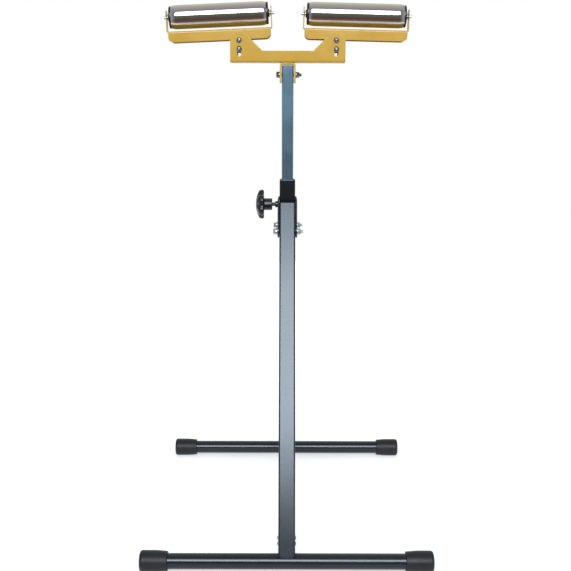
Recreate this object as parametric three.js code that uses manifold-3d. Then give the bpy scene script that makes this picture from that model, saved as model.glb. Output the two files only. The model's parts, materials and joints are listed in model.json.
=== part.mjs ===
// A folding roller stand: two chromed rollers in tilting cradles on a telescoping post.
// The post slides in a main tube, and a front and a rear leg fold against that tube.
// Millimetres, +Z up, the front faces -Y, the origin is on the floor under the post.
import * as THREE from "three";
import { mergeVertices } from "three/addons/utils/BufferGeometryUtils.js";
import Module from "manifold-3d";

// Driving dimensions
const GAP = 0.3; // left between pieces that touch
const SINK = 0.01; // overlap of two solids that are joined
const PAST = 10; // reach of a cutting solid beyond the piece it cuts
const FINE = 24; // sides of a large round piece
const COARSE = 10; // sides of a small round piece
const ARC_STEPS = 4; // half the steps of an arc in an outline
const BEND_STEPS = 2; // half the steps of a bend or a tube corner

// Square tubes
const TUBE = 30; // legs and main tube, outside
const TUBE_WALL = 1.5;
const TUBE_CORNER = 3;
const POST = 22; // sliding post, outside
const POST_WALL = 1.5;
const POST_CORNER = 2;

// Base
const FOOT_LENGTH = 520; // over both rubber caps of one foot bar
const FOOT_SPREAD = 282; // from the post axis to a foot bar
const BAR_RADIUS = 14;
const BAR_WALL = 1.5;
const CAP_LENGTH = 49.3;
const CAP_RADIUS = 19;
const CAP_MOUTH_RADIUS = 17.6;
const CAP_TAPER = 22; // length of the narrowing stretch at the mouth
const CAP_END = 4; // rubber beyond the end of the bar
const CAP_EDGE = 5; // rounding of the outer end
const CAP_FLAT = 0.5; // depth of the flat that rests on the floor
const FOOT_Z = CAP_RADIUS - CAP_FLAT;
const STUB = 26; // square socket stub on the bar, inside the leg
const STUB_WALL = 2;
const STUB_TOP = 56; // above the bar axis, along the leg
const LEG_END = 8; // front and rear walls stop this far above the bar axis
const RIVET_RADIUS = 2;
const RIVET_HEAD_RADIUS = 3.6;
const RIVET_HEAD = 1.5;
const RIVET_HEIGHTS = { lower: 30.4, upper: 40.2 }; // above the bar axis, along the leg

// Hinge of the legs
const PIVOT_Y = 46; // from the post axis to a leg's hinge bolt
const PIVOT_Z = 575;
const LEG_FRONT_TOP = 53.4; // front wall above the hinge bolt, along the leg
const PLATE_INNER = 15.4; // from the middle plane to a hinge plate
const PLATE_THICK = 3.3;
const PLATE_OUTER = PLATE_INNER + PLATE_THICK;
const PLATE_TOP = 634.5;
const PLATE_TOP_HALF = 19; // half width of the plate at its top corners
const PLATE_TOP_ROUND = 6;
const PLATE_LOBE = 12; // round of the plate about a hinge bolt

// Main tube and clamp
const MAIN_TOP = 670.2;
const MAIN_LENGTH = 400;
const BUSH_LENGTH = 36;
const BUSH_DROP = 1; // below the rim of the main tube
const CLAMP_Z = 622;
const STUD_RADIUS = 3.9;
const CLAMP_BORE = 4.3;
const PLUG_RADIUS = 3.8;
const PLUG_LENGTH = 4;
const CLAMP_NUT_RADIUS = 6.2;
const CLAMP_NUT_LENGTH = 4.6;
const KNOB_INNER = 45.4; // from the post axis to the flat back of the knob
const KNOB_RADIUS = 28;
const KNOB_LOBES = 6;
const KNOB_LOBE_DEPTH = 4.5;
const KNOB_RIM = 8; // thickness at the lobes
const KNOB_DOME = 7.5; // rise of the crown over the rim
const KNOB_HUB_RADIUS = 11.4;
const KNOB_HUB_END = 29.4;
const STUD_SOCKET = 8; // how far the stud reaches into the hub

// Head
const POST_LENGTH = 520;
const POST_TOP = 884;
const HEAD_BOTTOM = 889;
const SHEET = 2; // sheet metal of the head and the cradles
const BEND = 3.5; // outside radius of a bend
const HEAD_HALF = 107.5;
const HEAD_DEPTH = 44;
const HEAD_MIDDLE = 21.7; // height between the ears
const TILT_X = 90.5; // from the post axis to a cradle's pivot bolt
const TILT_Z = 929.4;
const EAR_RADIUS = 17;
const LOCK_DROP = 16; // from the pivot bolt down to the lock bolt
const SLOT_LOW = 25.2; // centres of the slot's ends, below the pivot bolt
const SLOT_HIGH = 14.2;
const SLOT_RADIUS = 3.6;
const YOKE_INNER = 11.6;
const YOKE_SHEET = 3.4;
const YOKE_BEND = 5;
const YOKE_HEIGHT = 37;
const YOKE_DEPTH = 38;
const YOKE_ROUND = 5; // lower corners of the cheeks
const YOKE_BOLT_Z = 867;

// Cradles, measured from their pivot bolt, with x towards the middle of the stand
const LEFT_SAG = THREE.MathUtils.degToRad(2.7); // how far each outer end hangs low, as set
const RIGHT_SAG = THREE.MathUtils.degToRad(1.4);
const MOST_SAG = LEFT_SAG; // where the lock bolt meets the end of its curved slot
const CRADLE_DEPTH = 38.8;
const CRADLE_TOP = 21.4;
const CRADLE_OUTER = -134.2; // middle of the outer end plate
const CRADLE_INNER = 61.6; // middle of the inner end plate
const FLANGE_HEIGHT = 20.1;
const FLANGE_OUTER = -131.5;
const FLANGE_INNER = 59.5;
const FLANGE_ROUND = 9;
const END_TOP = 13; // end plate above the axle
const END_DEPTH = 20;
const TAB_RADIUS = 23;
const TAB_OUTER = -9;
const TAB_INNER = 17.5;
const LOCK_SWING = THREE.MathUtils.degToRad(34); // sweep of the curved slot for the lock bolt

// Rollers
const AXLE_RISE = 48; // above the pivot bolt
const AXLE_RADIUS = 3;
const AXLE_PROUD = 4.2; // beyond an end plate
const ROLLER_RADIUS = 22.2;
const ROLLER_WALL = 2;
const ROLLER_LENGTH = 185; // over both end caps
const ROLLER_CAP_FACE = 4; // cap beyond the tube
const ROLLER_CAP_RADIUS = 20.3;
const ROLLER_CAP_DEPTH = 12; // cap inside the tube
const ROLLER_EDGE = 1;
const ROLLER_CAP_EDGE = 1.2;
const BOSS_RADIUS = 7.5;
const BOSS_HEIGHT = 2.2;
const BOSS_EDGE = 0.8;
const BEARING_RADIUS = 9.5;
const BEARING_WIDTH = 6;
const BEARING_RING = 1.6; // face of the inner and the outer ring
const BEARING_GROOVE = 0.5;
const CLIP_RADIUS = 6;
const CLIP_THICK = 0.8;

// M6 fasteners
const BOLT_RADIUS = 3;
const BOLT_HOLE = 3.3;
const HEX_RADIUS = 5.7; // across the corners, halved
const HEX_HEAD = 4.8;
const HEX_NUT = 5.2;
const WASHER_RADIUS = 6.2;
const WASHER = 1.6;
const THREAD_END = 2.6;
const PAN_RADIUS = 5.6;
const PAN_HEAD = 3.6;

// Worked out from the above
const LEG_LENGTH = Math.hypot(FOOT_SPREAD - PIVOT_Y, PIVOT_Z - FOOT_Z);
const LEG_LEAN = Math.atan2(FOOT_SPREAD - PIVOT_Y, PIVOT_Z - FOOT_Z);
const LEG_BACK_TOP =
  (PIVOT_Y - TUBE - GAP + (TUBE / 2) * (1 - Math.cos(LEG_LEAN))) / Math.sin(LEG_LEAN);
const BAR_HALF = FOOT_LENGTH / 2 - CAP_END;
const CRADLE_MIDDLE = (CRADLE_OUTER + CRADLE_INNER) / 2;
const CRADLE_HALF = (CRADLE_INNER - CRADLE_OUTER) / 2;

// Materials
const finish = (color, roughness, metalness) =>
  new THREE.MeshStandardMaterial({ color, roughness, metalness });
const BLACK_PAINT = finish(0x1d1f22, 0.35, 0.2);
const GOLD_PAINT = finish(0xc79a34, 0.4, 0.2);
const ZINC = finish(0x6f8796, 0.35, 0.9);
const BRIGHT_ZINC = finish(0xc4cccf, 0.3, 0.9);
const CHROME = finish(0xd8d8da, 0.08, 1);
const BLACK_PLASTIC = finish(0x1a1b1d, 0.5, 0);
const BLACK_RUBBER = finish(0x161719, 0.75, 0);
const BRASS = finish(0xb08a45, 0.4, 1);

// Solids
const wasm = await Module();
wasm.setup();

function solid(geometry) {
  const source = geometry.index ? geometry.toNonIndexed() : geometry;
  const bare = new THREE.BufferGeometry();
  bare.setAttribute("position", source.getAttribute("position"));
  const merged = mergeVertices(bare, 1e-4);
  const corners = merged.index.array;
  const kept = [];
  for (let i = 0; i < corners.length; i += 3) {
    const [a, b, c] = [corners[i], corners[i + 1], corners[i + 2]];
    if (a !== b && b !== c && c !== a) kept.push(a, b, c);
  }
  const mesh = new wasm.Mesh({
    numProp: 3,
    vertProperties: merged.attributes.position.array,
    triVerts: new Uint32Array(kept),
  });
  return new wasm.Manifold(mesh);
}

function geometryOf(manifold) {
  const mesh = manifold.getMesh();
  const geometry = new THREE.BufferGeometry();
  geometry.setAttribute("position", new THREE.BufferAttribute(mesh.vertProperties, 3));
  geometry.setIndex(new THREE.BufferAttribute(mesh.triVerts, 1));
  return geometry;
}

const join = (...pieces) => geometryOf(pieces.map(solid).reduce((a, b) => a.add(b)));
const cut = (piece, ...tools) =>
  geometryOf(tools.map(solid).reduce((a, b) => a.subtract(b), solid(piece)));
const common = (...pieces) =>
  geometryOf(pieces.map(solid).reduce((a, b) => a.intersect(b)));

// Basic shapes
const PLANES = {
  xy: [new THREE.Vector3(1, 0, 0), new THREE.Vector3(0, 1, 0), new THREE.Vector3(0, 0, 1)],
  yz: [new THREE.Vector3(0, 1, 0), new THREE.Vector3(0, 0, 1), new THREE.Vector3(1, 0, 0)],
  xz: [new THREE.Vector3(1, 0, 0), new THREE.Vector3(0, 0, 1), new THREE.Vector3(0, -1, 0)],
};

// A flat outline drawn in a plane, thickened from low to high along the third axis.
function slab(shape, plane, low, high, steps = ARC_STEPS) {
  const geometry = new THREE.ExtrudeGeometry(shape, {
    depth: high - low,
    bevelEnabled: false,
    curveSegments: steps,
  });
  geometry.applyMatrix4(new THREE.Matrix4().makeBasis(...PLANES[plane]));
  const away = PLANES[plane][2].clone().multiplyScalar(plane === "xz" ? -high : low);
  return geometry.translate(away.x, away.y, away.z);
}

function box(low, high) {
  const size = high.map((value, i) => value - low[i]);
  const middle = high.map((value, i) => (value + low[i]) / 2);
  return new THREE.BoxGeometry(...size).translate(...middle);
}

// A round or hexagonal bar from low to high along an axis through a point.
function rod(axis, radius, low, high, point = [0, 0, 0], sides = COARSE) {
  const geometry = new THREE.CylinderGeometry(radius, radius, high - low, sides);
  geometry.translate(0, (low + high) / 2, 0);
  if (axis === "x") geometry.rotateZ(-Math.PI / 2);
  if (axis === "z") geometry.rotateX(Math.PI / 2);
  return geometry.translate(...point);
}

// A turned piece about the x axis: an anticlockwise profile of [distance along x, radius].
function turned(profile, sides = FINE) {
  const points = profile.map(([along, radius]) => new THREE.Vector2(radius, along));
  points.push(points[0].clone());
  return new THREE.LatheGeometry(points.reverse(), sides).rotateZ(-Math.PI / 2);
}

function roundedSquare(side, corner) {
  const half = side / 2;
  const inset = half - corner;
  const shape = new THREE.Shape();
  shape.absarc(inset, inset, corner, 0, Math.PI / 2);
  shape.absarc(-inset, inset, corner, Math.PI / 2, Math.PI);
  shape.absarc(-inset, -inset, corner, Math.PI, 1.5 * Math.PI);
  shape.absarc(inset, -inset, corner, 1.5 * Math.PI, 2 * Math.PI);
  return shape;
}

function squareTube(side, wall, corner, low, high) {
  const shape = roundedSquare(side, corner);
  shape.holes.push(roundedSquare(side - 2 * wall, Math.max(corner - wall, 0.5)));
  return slab(shape, "xy", low, high, BEND_STEPS);
}

// The outline of a belt laid anticlockwise round circles given as [x, y, radius].
function belt(circles) {
  const normals = circles.map(([x, y, radius], i) => {
    const [nextX, nextY, nextRadius] = circles[(i + 1) % circles.length];
    const span = Math.hypot(nextX - x, nextY - y);
    const [dx, dy] = [(nextX - x) / span, (nextY - y) / span];
    const along = (radius - nextRadius) / span;
    const aside = Math.sqrt(1 - along * along);
    return Math.atan2(dy * along - dx * aside, dx * along + dy * aside);
  });
  const shape = new THREE.Shape();
  circles.forEach(([x, y, radius], i) => {
    const start = normals[(i + circles.length - 1) % circles.length];
    shape.absarc(x, y, radius, start, normals[i]);
  });
  return shape;
}

// A strip bent into a U: two walls and a floor, opening towards +y of its outline.
function channelOutline(halfWidth, height, sheet, bend) {
  const inner = halfWidth - sheet;
  const shape = new THREE.Shape();
  shape.moveTo(-halfWidth, height);
  shape.absarc(-halfWidth + bend, bend, bend, Math.PI, 1.5 * Math.PI);
  shape.absarc(halfWidth - bend, bend, bend, 1.5 * Math.PI, 2 * Math.PI);
  shape.lineTo(halfWidth, height);
  shape.lineTo(inner, height);
  shape.absarc(halfWidth - bend, bend, bend - sheet, 0, -Math.PI / 2, true);
  shape.absarc(-halfWidth + bend, bend, bend - sheet, -Math.PI / 2, -Math.PI, true);
  shape.lineTo(-inner, height);
  return shape;
}

// Scene graph
const stand = new THREE.Group();

function add(group, name, geometry, material) {
  const mesh = new THREE.Mesh(geometry, material);
  mesh.name = name;
  group.add(mesh);
}

function nest(group, position, axis, angle) {
  const child = new THREE.Group();
  child.position.set(...position);
  if (axis) child.rotation[axis] = angle;
  group.add(child);
  return child;
}

// Fasteners
// A hexagon bolt along x: head and washer outside -reach, bare shank through to +reach and on.
function hexBolt(reach, point, washers = WASHER) {
  const face = -reach - GAP;
  return join(
    rod("x", BOLT_RADIUS, face - washers, reach + GAP + WASHER + HEX_NUT + THREAD_END, point),
    rod("x", WASHER_RADIUS, face - washers, face, point),
    rod("x", HEX_RADIUS, face - washers - HEX_HEAD, face - washers + SINK, point, 6),
  );
}

// The nut of that bolt with its washer, outside +reach.
function hexNut(reach, point) {
  const face = reach + GAP;
  const body = join(
    rod("x", WASHER_RADIUS, face, face + WASHER, point),
    rod("x", HEX_RADIUS, face + WASHER - SINK, face + WASHER + HEX_NUT, point, 6),
  );
  return cut(body, rod("x", BOLT_HOLE, face - 1, face + WASHER + HEX_NUT + 1, point));
}

// A domed screw along y through the head: head in front, shank out to the rear.
function panScrew(x, z) {
  const half = HEAD_DEPTH / 2 + GAP;
  const flatRim = 0.8;
  const domePoints = 3;
  const profile = [[-half, 0], [-half, PAN_RADIUS]];
  for (let i = 0; i <= domePoints; i += 1) {
    const angle = (i / domePoints) * (Math.PI / 2);
    const along = flatRim + (PAN_HEAD - flatRim) * Math.sin(angle);
    profile.push([-half - along, PAN_RADIUS * Math.cos(angle)]);
  }
  const head = turned(profile, COARSE).rotateZ(Math.PI / 2);
  const shank = rod("y", BOLT_RADIUS, -half - 1, half + HEX_NUT + THREAD_END);
  return join(head, shank).translate(x, 0, z);
}

function panNut(x, z) {
  const half = HEAD_DEPTH / 2 + GAP;
  const body = rod("y", HEX_RADIUS, half, half + HEX_NUT, [x, 0, z], 6);
  return cut(body, rod("y", BOLT_HOLE, half - 1, half + HEX_NUT + 1, [x, 0, z]));
}

// Main tube, its bush and the hinge plates
function mainTube() {
  const tube = squareTube(TUBE, TUBE_WALL, TUBE_CORNER, MAIN_TOP - MAIN_LENGTH, MAIN_TOP);
  return cut(tube, rod("x", CLAMP_BORE, -TUBE, 0, [0, 0, CLAMP_Z]));
}

function tubeBush() {
  const outside = TUBE - 2 * TUBE_WALL - 2 * GAP;
  const wall = (outside - POST) / 2 - GAP;
  const top = MAIN_TOP - BUSH_DROP;
  return squareTube(outside, wall, TUBE_CORNER - TUBE_WALL, top - BUSH_LENGTH, top);
}

function hingePlate(side) {
  const topZ = PLATE_TOP - PLATE_TOP_ROUND;
  const outline = belt([
    [-PIVOT_Y, PIVOT_Z, PLATE_LOBE],
    [PIVOT_Y, PIVOT_Z, PLATE_LOBE],
    [PLATE_TOP_HALF, topZ, PLATE_TOP_ROUND],
    [-PLATE_TOP_HALF, topZ, PLATE_TOP_ROUND],
  ]);
  const [low, high] = side < 0 ? [-PLATE_OUTER, -PLATE_INNER] : [PLATE_INNER, PLATE_OUTER];
  const holes = [-PIVOT_Y, PIVOT_Y].map((y) =>
    rod("x", BOLT_HOLE, low - 1, high + 1, [0, y, PIVOT_Z]),
  );
  if (side < 0) holes.push(rod("x", CLAMP_BORE, low - 1, high + 1, [0, 0, CLAMP_Z]));
  return cut(slab(outline, "yz", low, high), ...holes);
}

add(stand, "main_tube", mainTube(), BLACK_PAINT);
add(stand, "tube_bush", tubeBush(), BLACK_PLASTIC);
add(stand, "hinge_plate_left", hingePlate(-1), BLACK_PAINT);
add(stand, "hinge_plate_right", hingePlate(1), BLACK_PAINT);
for (const [name, y] of [["front", -PIVOT_Y], ["rear", PIVOT_Y]]) {
  const point = [0, y, PIVOT_Z];
  add(stand, `${name}_hinge_bolt`, hexBolt(PLATE_OUTER, point, 2 * WASHER), BRIGHT_ZINC);
  add(stand, `${name}_hinge_nut`, hexNut(PLATE_OUTER, point), BRIGHT_ZINC);
}

// Clamp: weld nut, brass plug, threaded stud and star knob
const clamp = nest(stand, [0, 0, CLAMP_Z]);
const nutStart = -PLATE_OUTER - GAP;

function clampNut() {
  const body = rod("x", CLAMP_NUT_RADIUS, nutStart - CLAMP_NUT_LENGTH, nutStart);
  return cut(body, rod("x", CLAMP_BORE, nutStart - CLAMP_NUT_LENGTH - 1, nutStart + 1));
}

function starKnob() {
  const outline = new THREE.Shape();
  const outlinePoints = 48;
  for (let i = 0; i < outlinePoints; i += 1) {
    const angle = (i / outlinePoints) * 2 * Math.PI;
    const dip = KNOB_LOBE_DEPTH * (0.5 - 0.5 * Math.cos(KNOB_LOBES * angle + Math.PI)) ** 2;
    const radius = KNOB_RADIUS - dip;
    outline.lineTo(radius * Math.cos(angle), radius * Math.sin(angle));
  }
  outline.closePath();
  const crown = -KNOB_INNER - KNOB_RIM - KNOB_DOME;
  const star = slab(outline, "yz", crown - 1, -KNOB_INNER);
  const dome = [[-KNOB_INNER, 0], [-KNOB_INNER, KNOB_RADIUS + 1]];
  const domePoints = 6;
  for (let i = 0; i <= domePoints; i += 1) {
    const radius = (KNOB_RADIUS + 1) * (1 - i / domePoints);
    const share = radius / (KNOB_RADIUS + 1);
    dome.push([crown + KNOB_DOME * share ** 2.4, radius]);
  }
  const head = common(star, turned(dome));
  const hub = rod("x", KNOB_HUB_RADIUS, -KNOB_INNER - 0.5, -KNOB_HUB_END);
  const socket = rod("x", STUD_RADIUS + GAP, -KNOB_HUB_END - STUD_SOCKET - GAP, 0);
  return cut(join(head, hub), socket);
}

const plugEnd = -POST / 2 - GAP - PLUG_LENGTH;
add(clamp, "clamp_nut", clampNut(), BLACK_PAINT);
add(clamp, "clamp_plug", rod("x", PLUG_RADIUS, plugEnd, plugEnd + PLUG_LENGTH), BRASS);
add(clamp, "knob_stud", rod("x", STUD_RADIUS, -KNOB_HUB_END - STUD_SOCKET, plugEnd - GAP), ZINC);
add(clamp, "star_knob", starKnob(), BLACK_PLASTIC);

// Legs with their foot bars and rubber caps
function legTube() {
  const tube = squareTube(TUBE, TUBE_WALL, TUBE_CORNER, LEG_END - LEG_LENGTH, LEG_FRONT_TOP);
  const bevel = new THREE.Shape();
  bevel.moveTo(-TUBE / 2, LEG_FRONT_TOP);
  bevel.lineTo(TUBE / 2, LEG_BACK_TOP);
  bevel.lineTo(TUBE, LEG_BACK_TOP);
  bevel.lineTo(TUBE, LEG_FRONT_TOP + 1);
  bevel.lineTo(-TUBE / 2, LEG_FRONT_TOP + 1);
  const holes = Object.values(RIVET_HEIGHTS).map((height) =>
    rod("x", RIVET_RADIUS + GAP, -TUBE, TUBE, [0, 0, height - LEG_LENGTH]),
  );
  return cut(
    tube,
    slab(bevel, "yz", -TUBE, TUBE),
    rod("x", BAR_RADIUS + GAP, -TUBE, TUBE, [0, 0, -LEG_LENGTH], FINE),
    rod("x", BOLT_HOLE, -TUBE, TUBE),
    ...holes,
  );
}

function footBar() {
  const half = STUB / 2;
  const inside = half - STUB_WALL;
  const outer = join(
    rod("x", BAR_RADIUS, -BAR_HALF, BAR_HALF, [0, 0, 0], FINE),
    box([-half, -half, BAR_RADIUS / 3], [half, half, STUB_TOP]),
  );
  const holes = Object.values(RIVET_HEIGHTS).map((height) =>
    rod("x", RIVET_RADIUS + GAP, -TUBE, TUBE, [0, 0, height]),
  );
  return cut(
    outer,
    rod("x", BAR_RADIUS - BAR_WALL, -BAR_HALF - 1, BAR_HALF + 1, [0, 0, 0], FINE),
    box([-inside, -inside, BAR_RADIUS + 1], [inside, inside, STUB_TOP + 1]),
    ...holes,
  );
}

// A rivet across the leg, with a low domed head on each side.
function footRivet(height) {
  const face = TUBE / 2 + GAP;
  const crest = 0.7;
  const head = () =>
    turned(
      [
        [face, 0],
        [face + RIVET_HEAD, 0],
        [face + RIVET_HEAD * crest, RIVET_HEAD_RADIUS * crest],
        [face, RIVET_HEAD_RADIUS],
      ],
      COARSE,
    );
  const shank = rod("x", RIVET_RADIUS, -face - GAP, face + GAP);
  return join(shank, head(), head().rotateZ(Math.PI)).translate(0, 0, height);
}

// A cap on the +x end of a bar whose axis is x.
function footCap() {
  const end = FOOT_LENGTH / 2;
  const mouth = end - CAP_LENGTH;
  const profile = [
    [mouth, BAR_RADIUS + GAP],
    [BAR_HALF + GAP, BAR_RADIUS + GAP],
    [BAR_HALF + GAP, 0],
    [end, 0],
  ];
  const edgePoints = 3;
  for (let i = 0; i <= edgePoints; i += 1) {
    const angle = (i / edgePoints) * (Math.PI / 2);
    const along = end - CAP_EDGE * (1 - Math.cos(angle));
    profile.push([along, CAP_RADIUS - CAP_EDGE * (1 - Math.sin(angle))]);
  }
  const lip = 1;
  profile.push([mouth + CAP_TAPER, CAP_RADIUS]);
  profile.push([mouth + lip, CAP_MOUTH_RADIUS], [mouth, CAP_MOUTH_RADIUS - lip]);
  const floor = box([0, -CAP_RADIUS, -2 * CAP_RADIUS], [FOOT_LENGTH, CAP_RADIUS, -FOOT_Z]);
  return cut(turned(profile), floor);
}

function addLeg(name, turn) {
  const side = nest(stand, [0, 0, 0], "z", turn);
  const leg = nest(side, [0, -PIVOT_Y, PIVOT_Z], "x", -LEG_LEAN);
  const socket = nest(leg, [0, 0, -LEG_LENGTH]);
  const level = nest(socket, [0, 0, 0], "x", LEG_LEAN);
  add(leg, `${name}_leg`, legTube(), BLACK_PAINT);
  add(socket, `${name}_foot_bar`, footBar(), BLACK_PAINT);
  for (const [place, height] of Object.entries(RIVET_HEIGHTS)) {
    add(socket, `${name}_foot_rivet_${place}`, footRivet(height), BLACK_PAINT);
  }
  const sides = turn === 0 ? ["right", "left"] : ["left", "right"];
  add(level, `${name}_foot_cap_${sides[0]}`, footCap(), BLACK_RUBBER);
  add(level, `${name}_foot_cap_${sides[1]}`, footCap().rotateZ(Math.PI), BLACK_RUBBER);
}

addLeg("front", 0);
addLeg("rear", Math.PI);

// Post, yoke and head channel
function post() {
  const tube = squareTube(POST, POST_WALL, POST_CORNER, POST_TOP - POST_LENGTH, POST_TOP);
  return cut(tube, rod("x", BOLT_HOLE, -POST, POST, [0, 0, YOKE_BOLT_Z]));
}

function yoke() {
  const half = YOKE_INNER + YOKE_SHEET;
  const outline = channelOutline(half, YOKE_HEIGHT, YOKE_SHEET, YOKE_BEND);
  const strip = slab(outline, "xz", -YOKE_DEPTH / 2, YOKE_DEPTH / 2, BEND_STEPS);
  strip.rotateY(Math.PI).translate(0, 0, HEAD_BOTTOM - GAP);
  const bottom = HEAD_BOTTOM - GAP - YOKE_HEIGHT;
  const inset = YOKE_DEPTH / 2 - YOKE_ROUND;
  const face = belt([
    [-inset, bottom + YOKE_ROUND, YOKE_ROUND],
    [inset, bottom + YOKE_ROUND, YOKE_ROUND],
    [YOKE_DEPTH / 2 - 1, HEAD_BOTTOM + 1, 1],
    [-YOKE_DEPTH / 2 + 1, HEAD_BOTTOM + 1, 1],
  ]);
  return cut(
    common(strip, slab(face, "yz", -half - 1, half + 1)),
    rod("x", BOLT_HOLE, -half - 1, half + 1, [0, 0, YOKE_BOLT_Z]),
  );
}

function headOutline() {
  const slant = Math.PI / 4;
  const middle = HEAD_BOTTOM + HEAD_MIDDLE;
  const tangent = EAR_RADIUS * Math.SQRT1_2;
  const foot = TILT_X - tangent - (TILT_Z + tangent - middle);
  const shape = new THREE.Shape();
  shape.moveTo(-HEAD_HALF, HEAD_BOTTOM);
  shape.lineTo(HEAD_HALF, HEAD_BOTTOM);
  shape.absarc(TILT_X, TILT_Z, EAR_RADIUS, 0, Math.PI - slant);
  shape.lineTo(foot, middle);
  shape.lineTo(-foot, middle);
  shape.absarc(-TILT_X, TILT_Z, EAR_RADIUS, slant, Math.PI);
  return shape;
}

// A straight slot through the head along y.
function headSlot(x) {
  const outline = belt([
    [x, TILT_Z - SLOT_LOW, SLOT_RADIUS],
    [x, TILT_Z - SLOT_HIGH, SLOT_RADIUS],
  ]);
  return slab(outline, "xz", -HEAD_DEPTH, HEAD_DEPTH);
}

function headChannel() {
  const earTop = TILT_Z + EAR_RADIUS - HEAD_BOTTOM + 1;
  const section = channelOutline(HEAD_DEPTH / 2, earTop, SHEET, BEND);
  const channel = slab(section, "yz", -HEAD_HALF, HEAD_HALF, BEND_STEPS);
  channel.translate(0, 0, HEAD_BOTTOM);
  const faces = slab(headOutline(), "xz", -HEAD_DEPTH, HEAD_DEPTH);
  const tools = [-TILT_X, TILT_X].flatMap((x) => [
    rod("y", BOLT_HOLE, -HEAD_DEPTH, HEAD_DEPTH, [x, 0, TILT_Z]),
    headSlot(x),
  ]);
  return cut(common(channel, faces), ...tools);
}

add(stand, "post", post(), ZINC);
add(stand, "yoke", yoke(), GOLD_PAINT);
add(stand, "yoke_bolt", hexBolt(YOKE_INNER + YOKE_SHEET, [0, 0, YOKE_BOLT_Z]), BRIGHT_ZINC);
add(stand, "yoke_nut", hexNut(YOKE_INNER + YOKE_SHEET, [0, 0, YOKE_BOLT_Z]), BRIGHT_ZINC);
add(stand, "head_channel", headChannel(), GOLD_PAINT);
for (const [name, x] of [["left", -TILT_X], ["right", TILT_X]]) {
  add(stand, `${name}_pivot_screw`, panScrew(x, TILT_Z), BRIGHT_ZINC);
  add(stand, `${name}_pivot_nut`, panNut(x, TILT_Z), BRIGHT_ZINC);
  add(stand, `${name}_lock_screw`, panScrew(x, TILT_Z - LOCK_DROP), BRIGHT_ZINC);
  add(stand, `${name}_lock_nut`, panNut(x, TILT_Z - LOCK_DROP), BRIGHT_ZINC);
}

// Cradles
function flangeOutline() {
  const low = CRADLE_TOP - FLANGE_HEIGHT;
  const shape = new THREE.Shape();
  shape.moveTo(FLANGE_OUTER, CRADLE_TOP);
  shape.absarc(FLANGE_OUTER + FLANGE_ROUND, low + FLANGE_ROUND, FLANGE_ROUND, Math.PI, 1.5 * Math.PI);
  shape.lineTo(TAB_OUTER, low);
  shape.lineTo(TAB_OUTER, -Math.sqrt(TAB_RADIUS ** 2 - TAB_OUTER ** 2));
  const endAngle = -Math.acos(TAB_INNER / TAB_RADIUS);
  shape.absarc(0, 0, TAB_RADIUS, -Math.PI + Math.acos(-TAB_OUTER / TAB_RADIUS), endAngle);
  shape.lineTo(TAB_INNER, low);
  shape.absarc(FLANGE_INNER - FLANGE_ROUND, low + FLANGE_ROUND, FLANGE_ROUND, -Math.PI / 2, 0);
  shape.lineTo(FLANGE_INNER, CRADLE_TOP);
  return shape;
}

// The curved slot that lets the cradle tilt past the lock screw.
function lockSlot() {
  const start = -Math.PI / 2 - MOST_SAG;
  const end = start + LOCK_SWING;
  const shape = new THREE.Shape();
  const tip = (angle) => [LOCK_DROP * Math.cos(angle), LOCK_DROP * Math.sin(angle)];
  shape.absarc(0, 0, LOCK_DROP + SLOT_RADIUS, start, end);
  shape.absarc(...tip(end), SLOT_RADIUS, end, end + Math.PI);
  shape.absarc(0, 0, LOCK_DROP - SLOT_RADIUS, end, start, true);
  shape.absarc(...tip(start), SLOT_RADIUS, start + Math.PI, start + 2 * Math.PI);
  return slab(shape, "xz", -CRADLE_DEPTH, CRADLE_DEPTH);
}

function cradle() {
  const half = CRADLE_DEPTH / 2;
  const low = -TAB_RADIUS - PAST;
  const flanges = slab(
    channelOutline(half, CRADLE_TOP - low, SHEET, BEND),
    "yz",
    FLANGE_OUTER,
    FLANGE_INNER,
    BEND_STEPS,
  );
  flanges.rotateX(Math.PI).translate(0, 0, CRADLE_TOP);
  const front = common(flanges, slab(flangeOutline(), "xz", -half, half));
  const endHeight = AXLE_RISE + END_TOP - CRADLE_TOP + SHEET;
  const ends = slab(
    channelOutline(CRADLE_HALF + SHEET / 2, endHeight, SHEET, BEND),
    "xz",
    -half,
    half,
    BEND_STEPS,
  );
  ends.translate(CRADLE_MIDDLE, 0, CRADLE_TOP - SHEET);
  const endTop = AXLE_RISE + END_TOP;
  const round = END_DEPTH / 2.5;
  const endFace = belt([
    [-END_DEPTH / 2 + 1, CRADLE_TOP - SHEET - 1, 1],
    [END_DEPTH / 2 - 1, CRADLE_TOP - SHEET - 1, 1],
    [END_DEPTH / 2 - round, endTop - round, round],
    [-END_DEPTH / 2 + round, endTop - round, round],
  ]);
  const span = CRADLE_HALF + PAST;
  const uprights = common(
    ends,
    slab(endFace, "yz", CRADLE_MIDDLE - span, CRADLE_MIDDLE + span),
  );
  return cut(
    join(front, uprights),
    rod("y", BOLT_HOLE, -half - 1, half + 1),
    rod("x", AXLE_RADIUS + GAP, CRADLE_OUTER - PAST, CRADLE_INNER + PAST, [0, 0, AXLE_RISE]),
    lockSlot(),
  );
}

// Rollers, about their own middle with the axle along x
function rollerTube() {
  const half = ROLLER_LENGTH / 2 - ROLLER_CAP_FACE;
  const inside = ROLLER_RADIUS - ROLLER_WALL;
  return turned([
    [-half, inside],
    [half, inside],
    [half, ROLLER_RADIUS - ROLLER_EDGE],
    [half - ROLLER_EDGE, ROLLER_RADIUS],
    [-half + ROLLER_EDGE, ROLLER_RADIUS],
    [-half, ROLLER_RADIUS - ROLLER_EDGE],
  ]);
}

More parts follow.
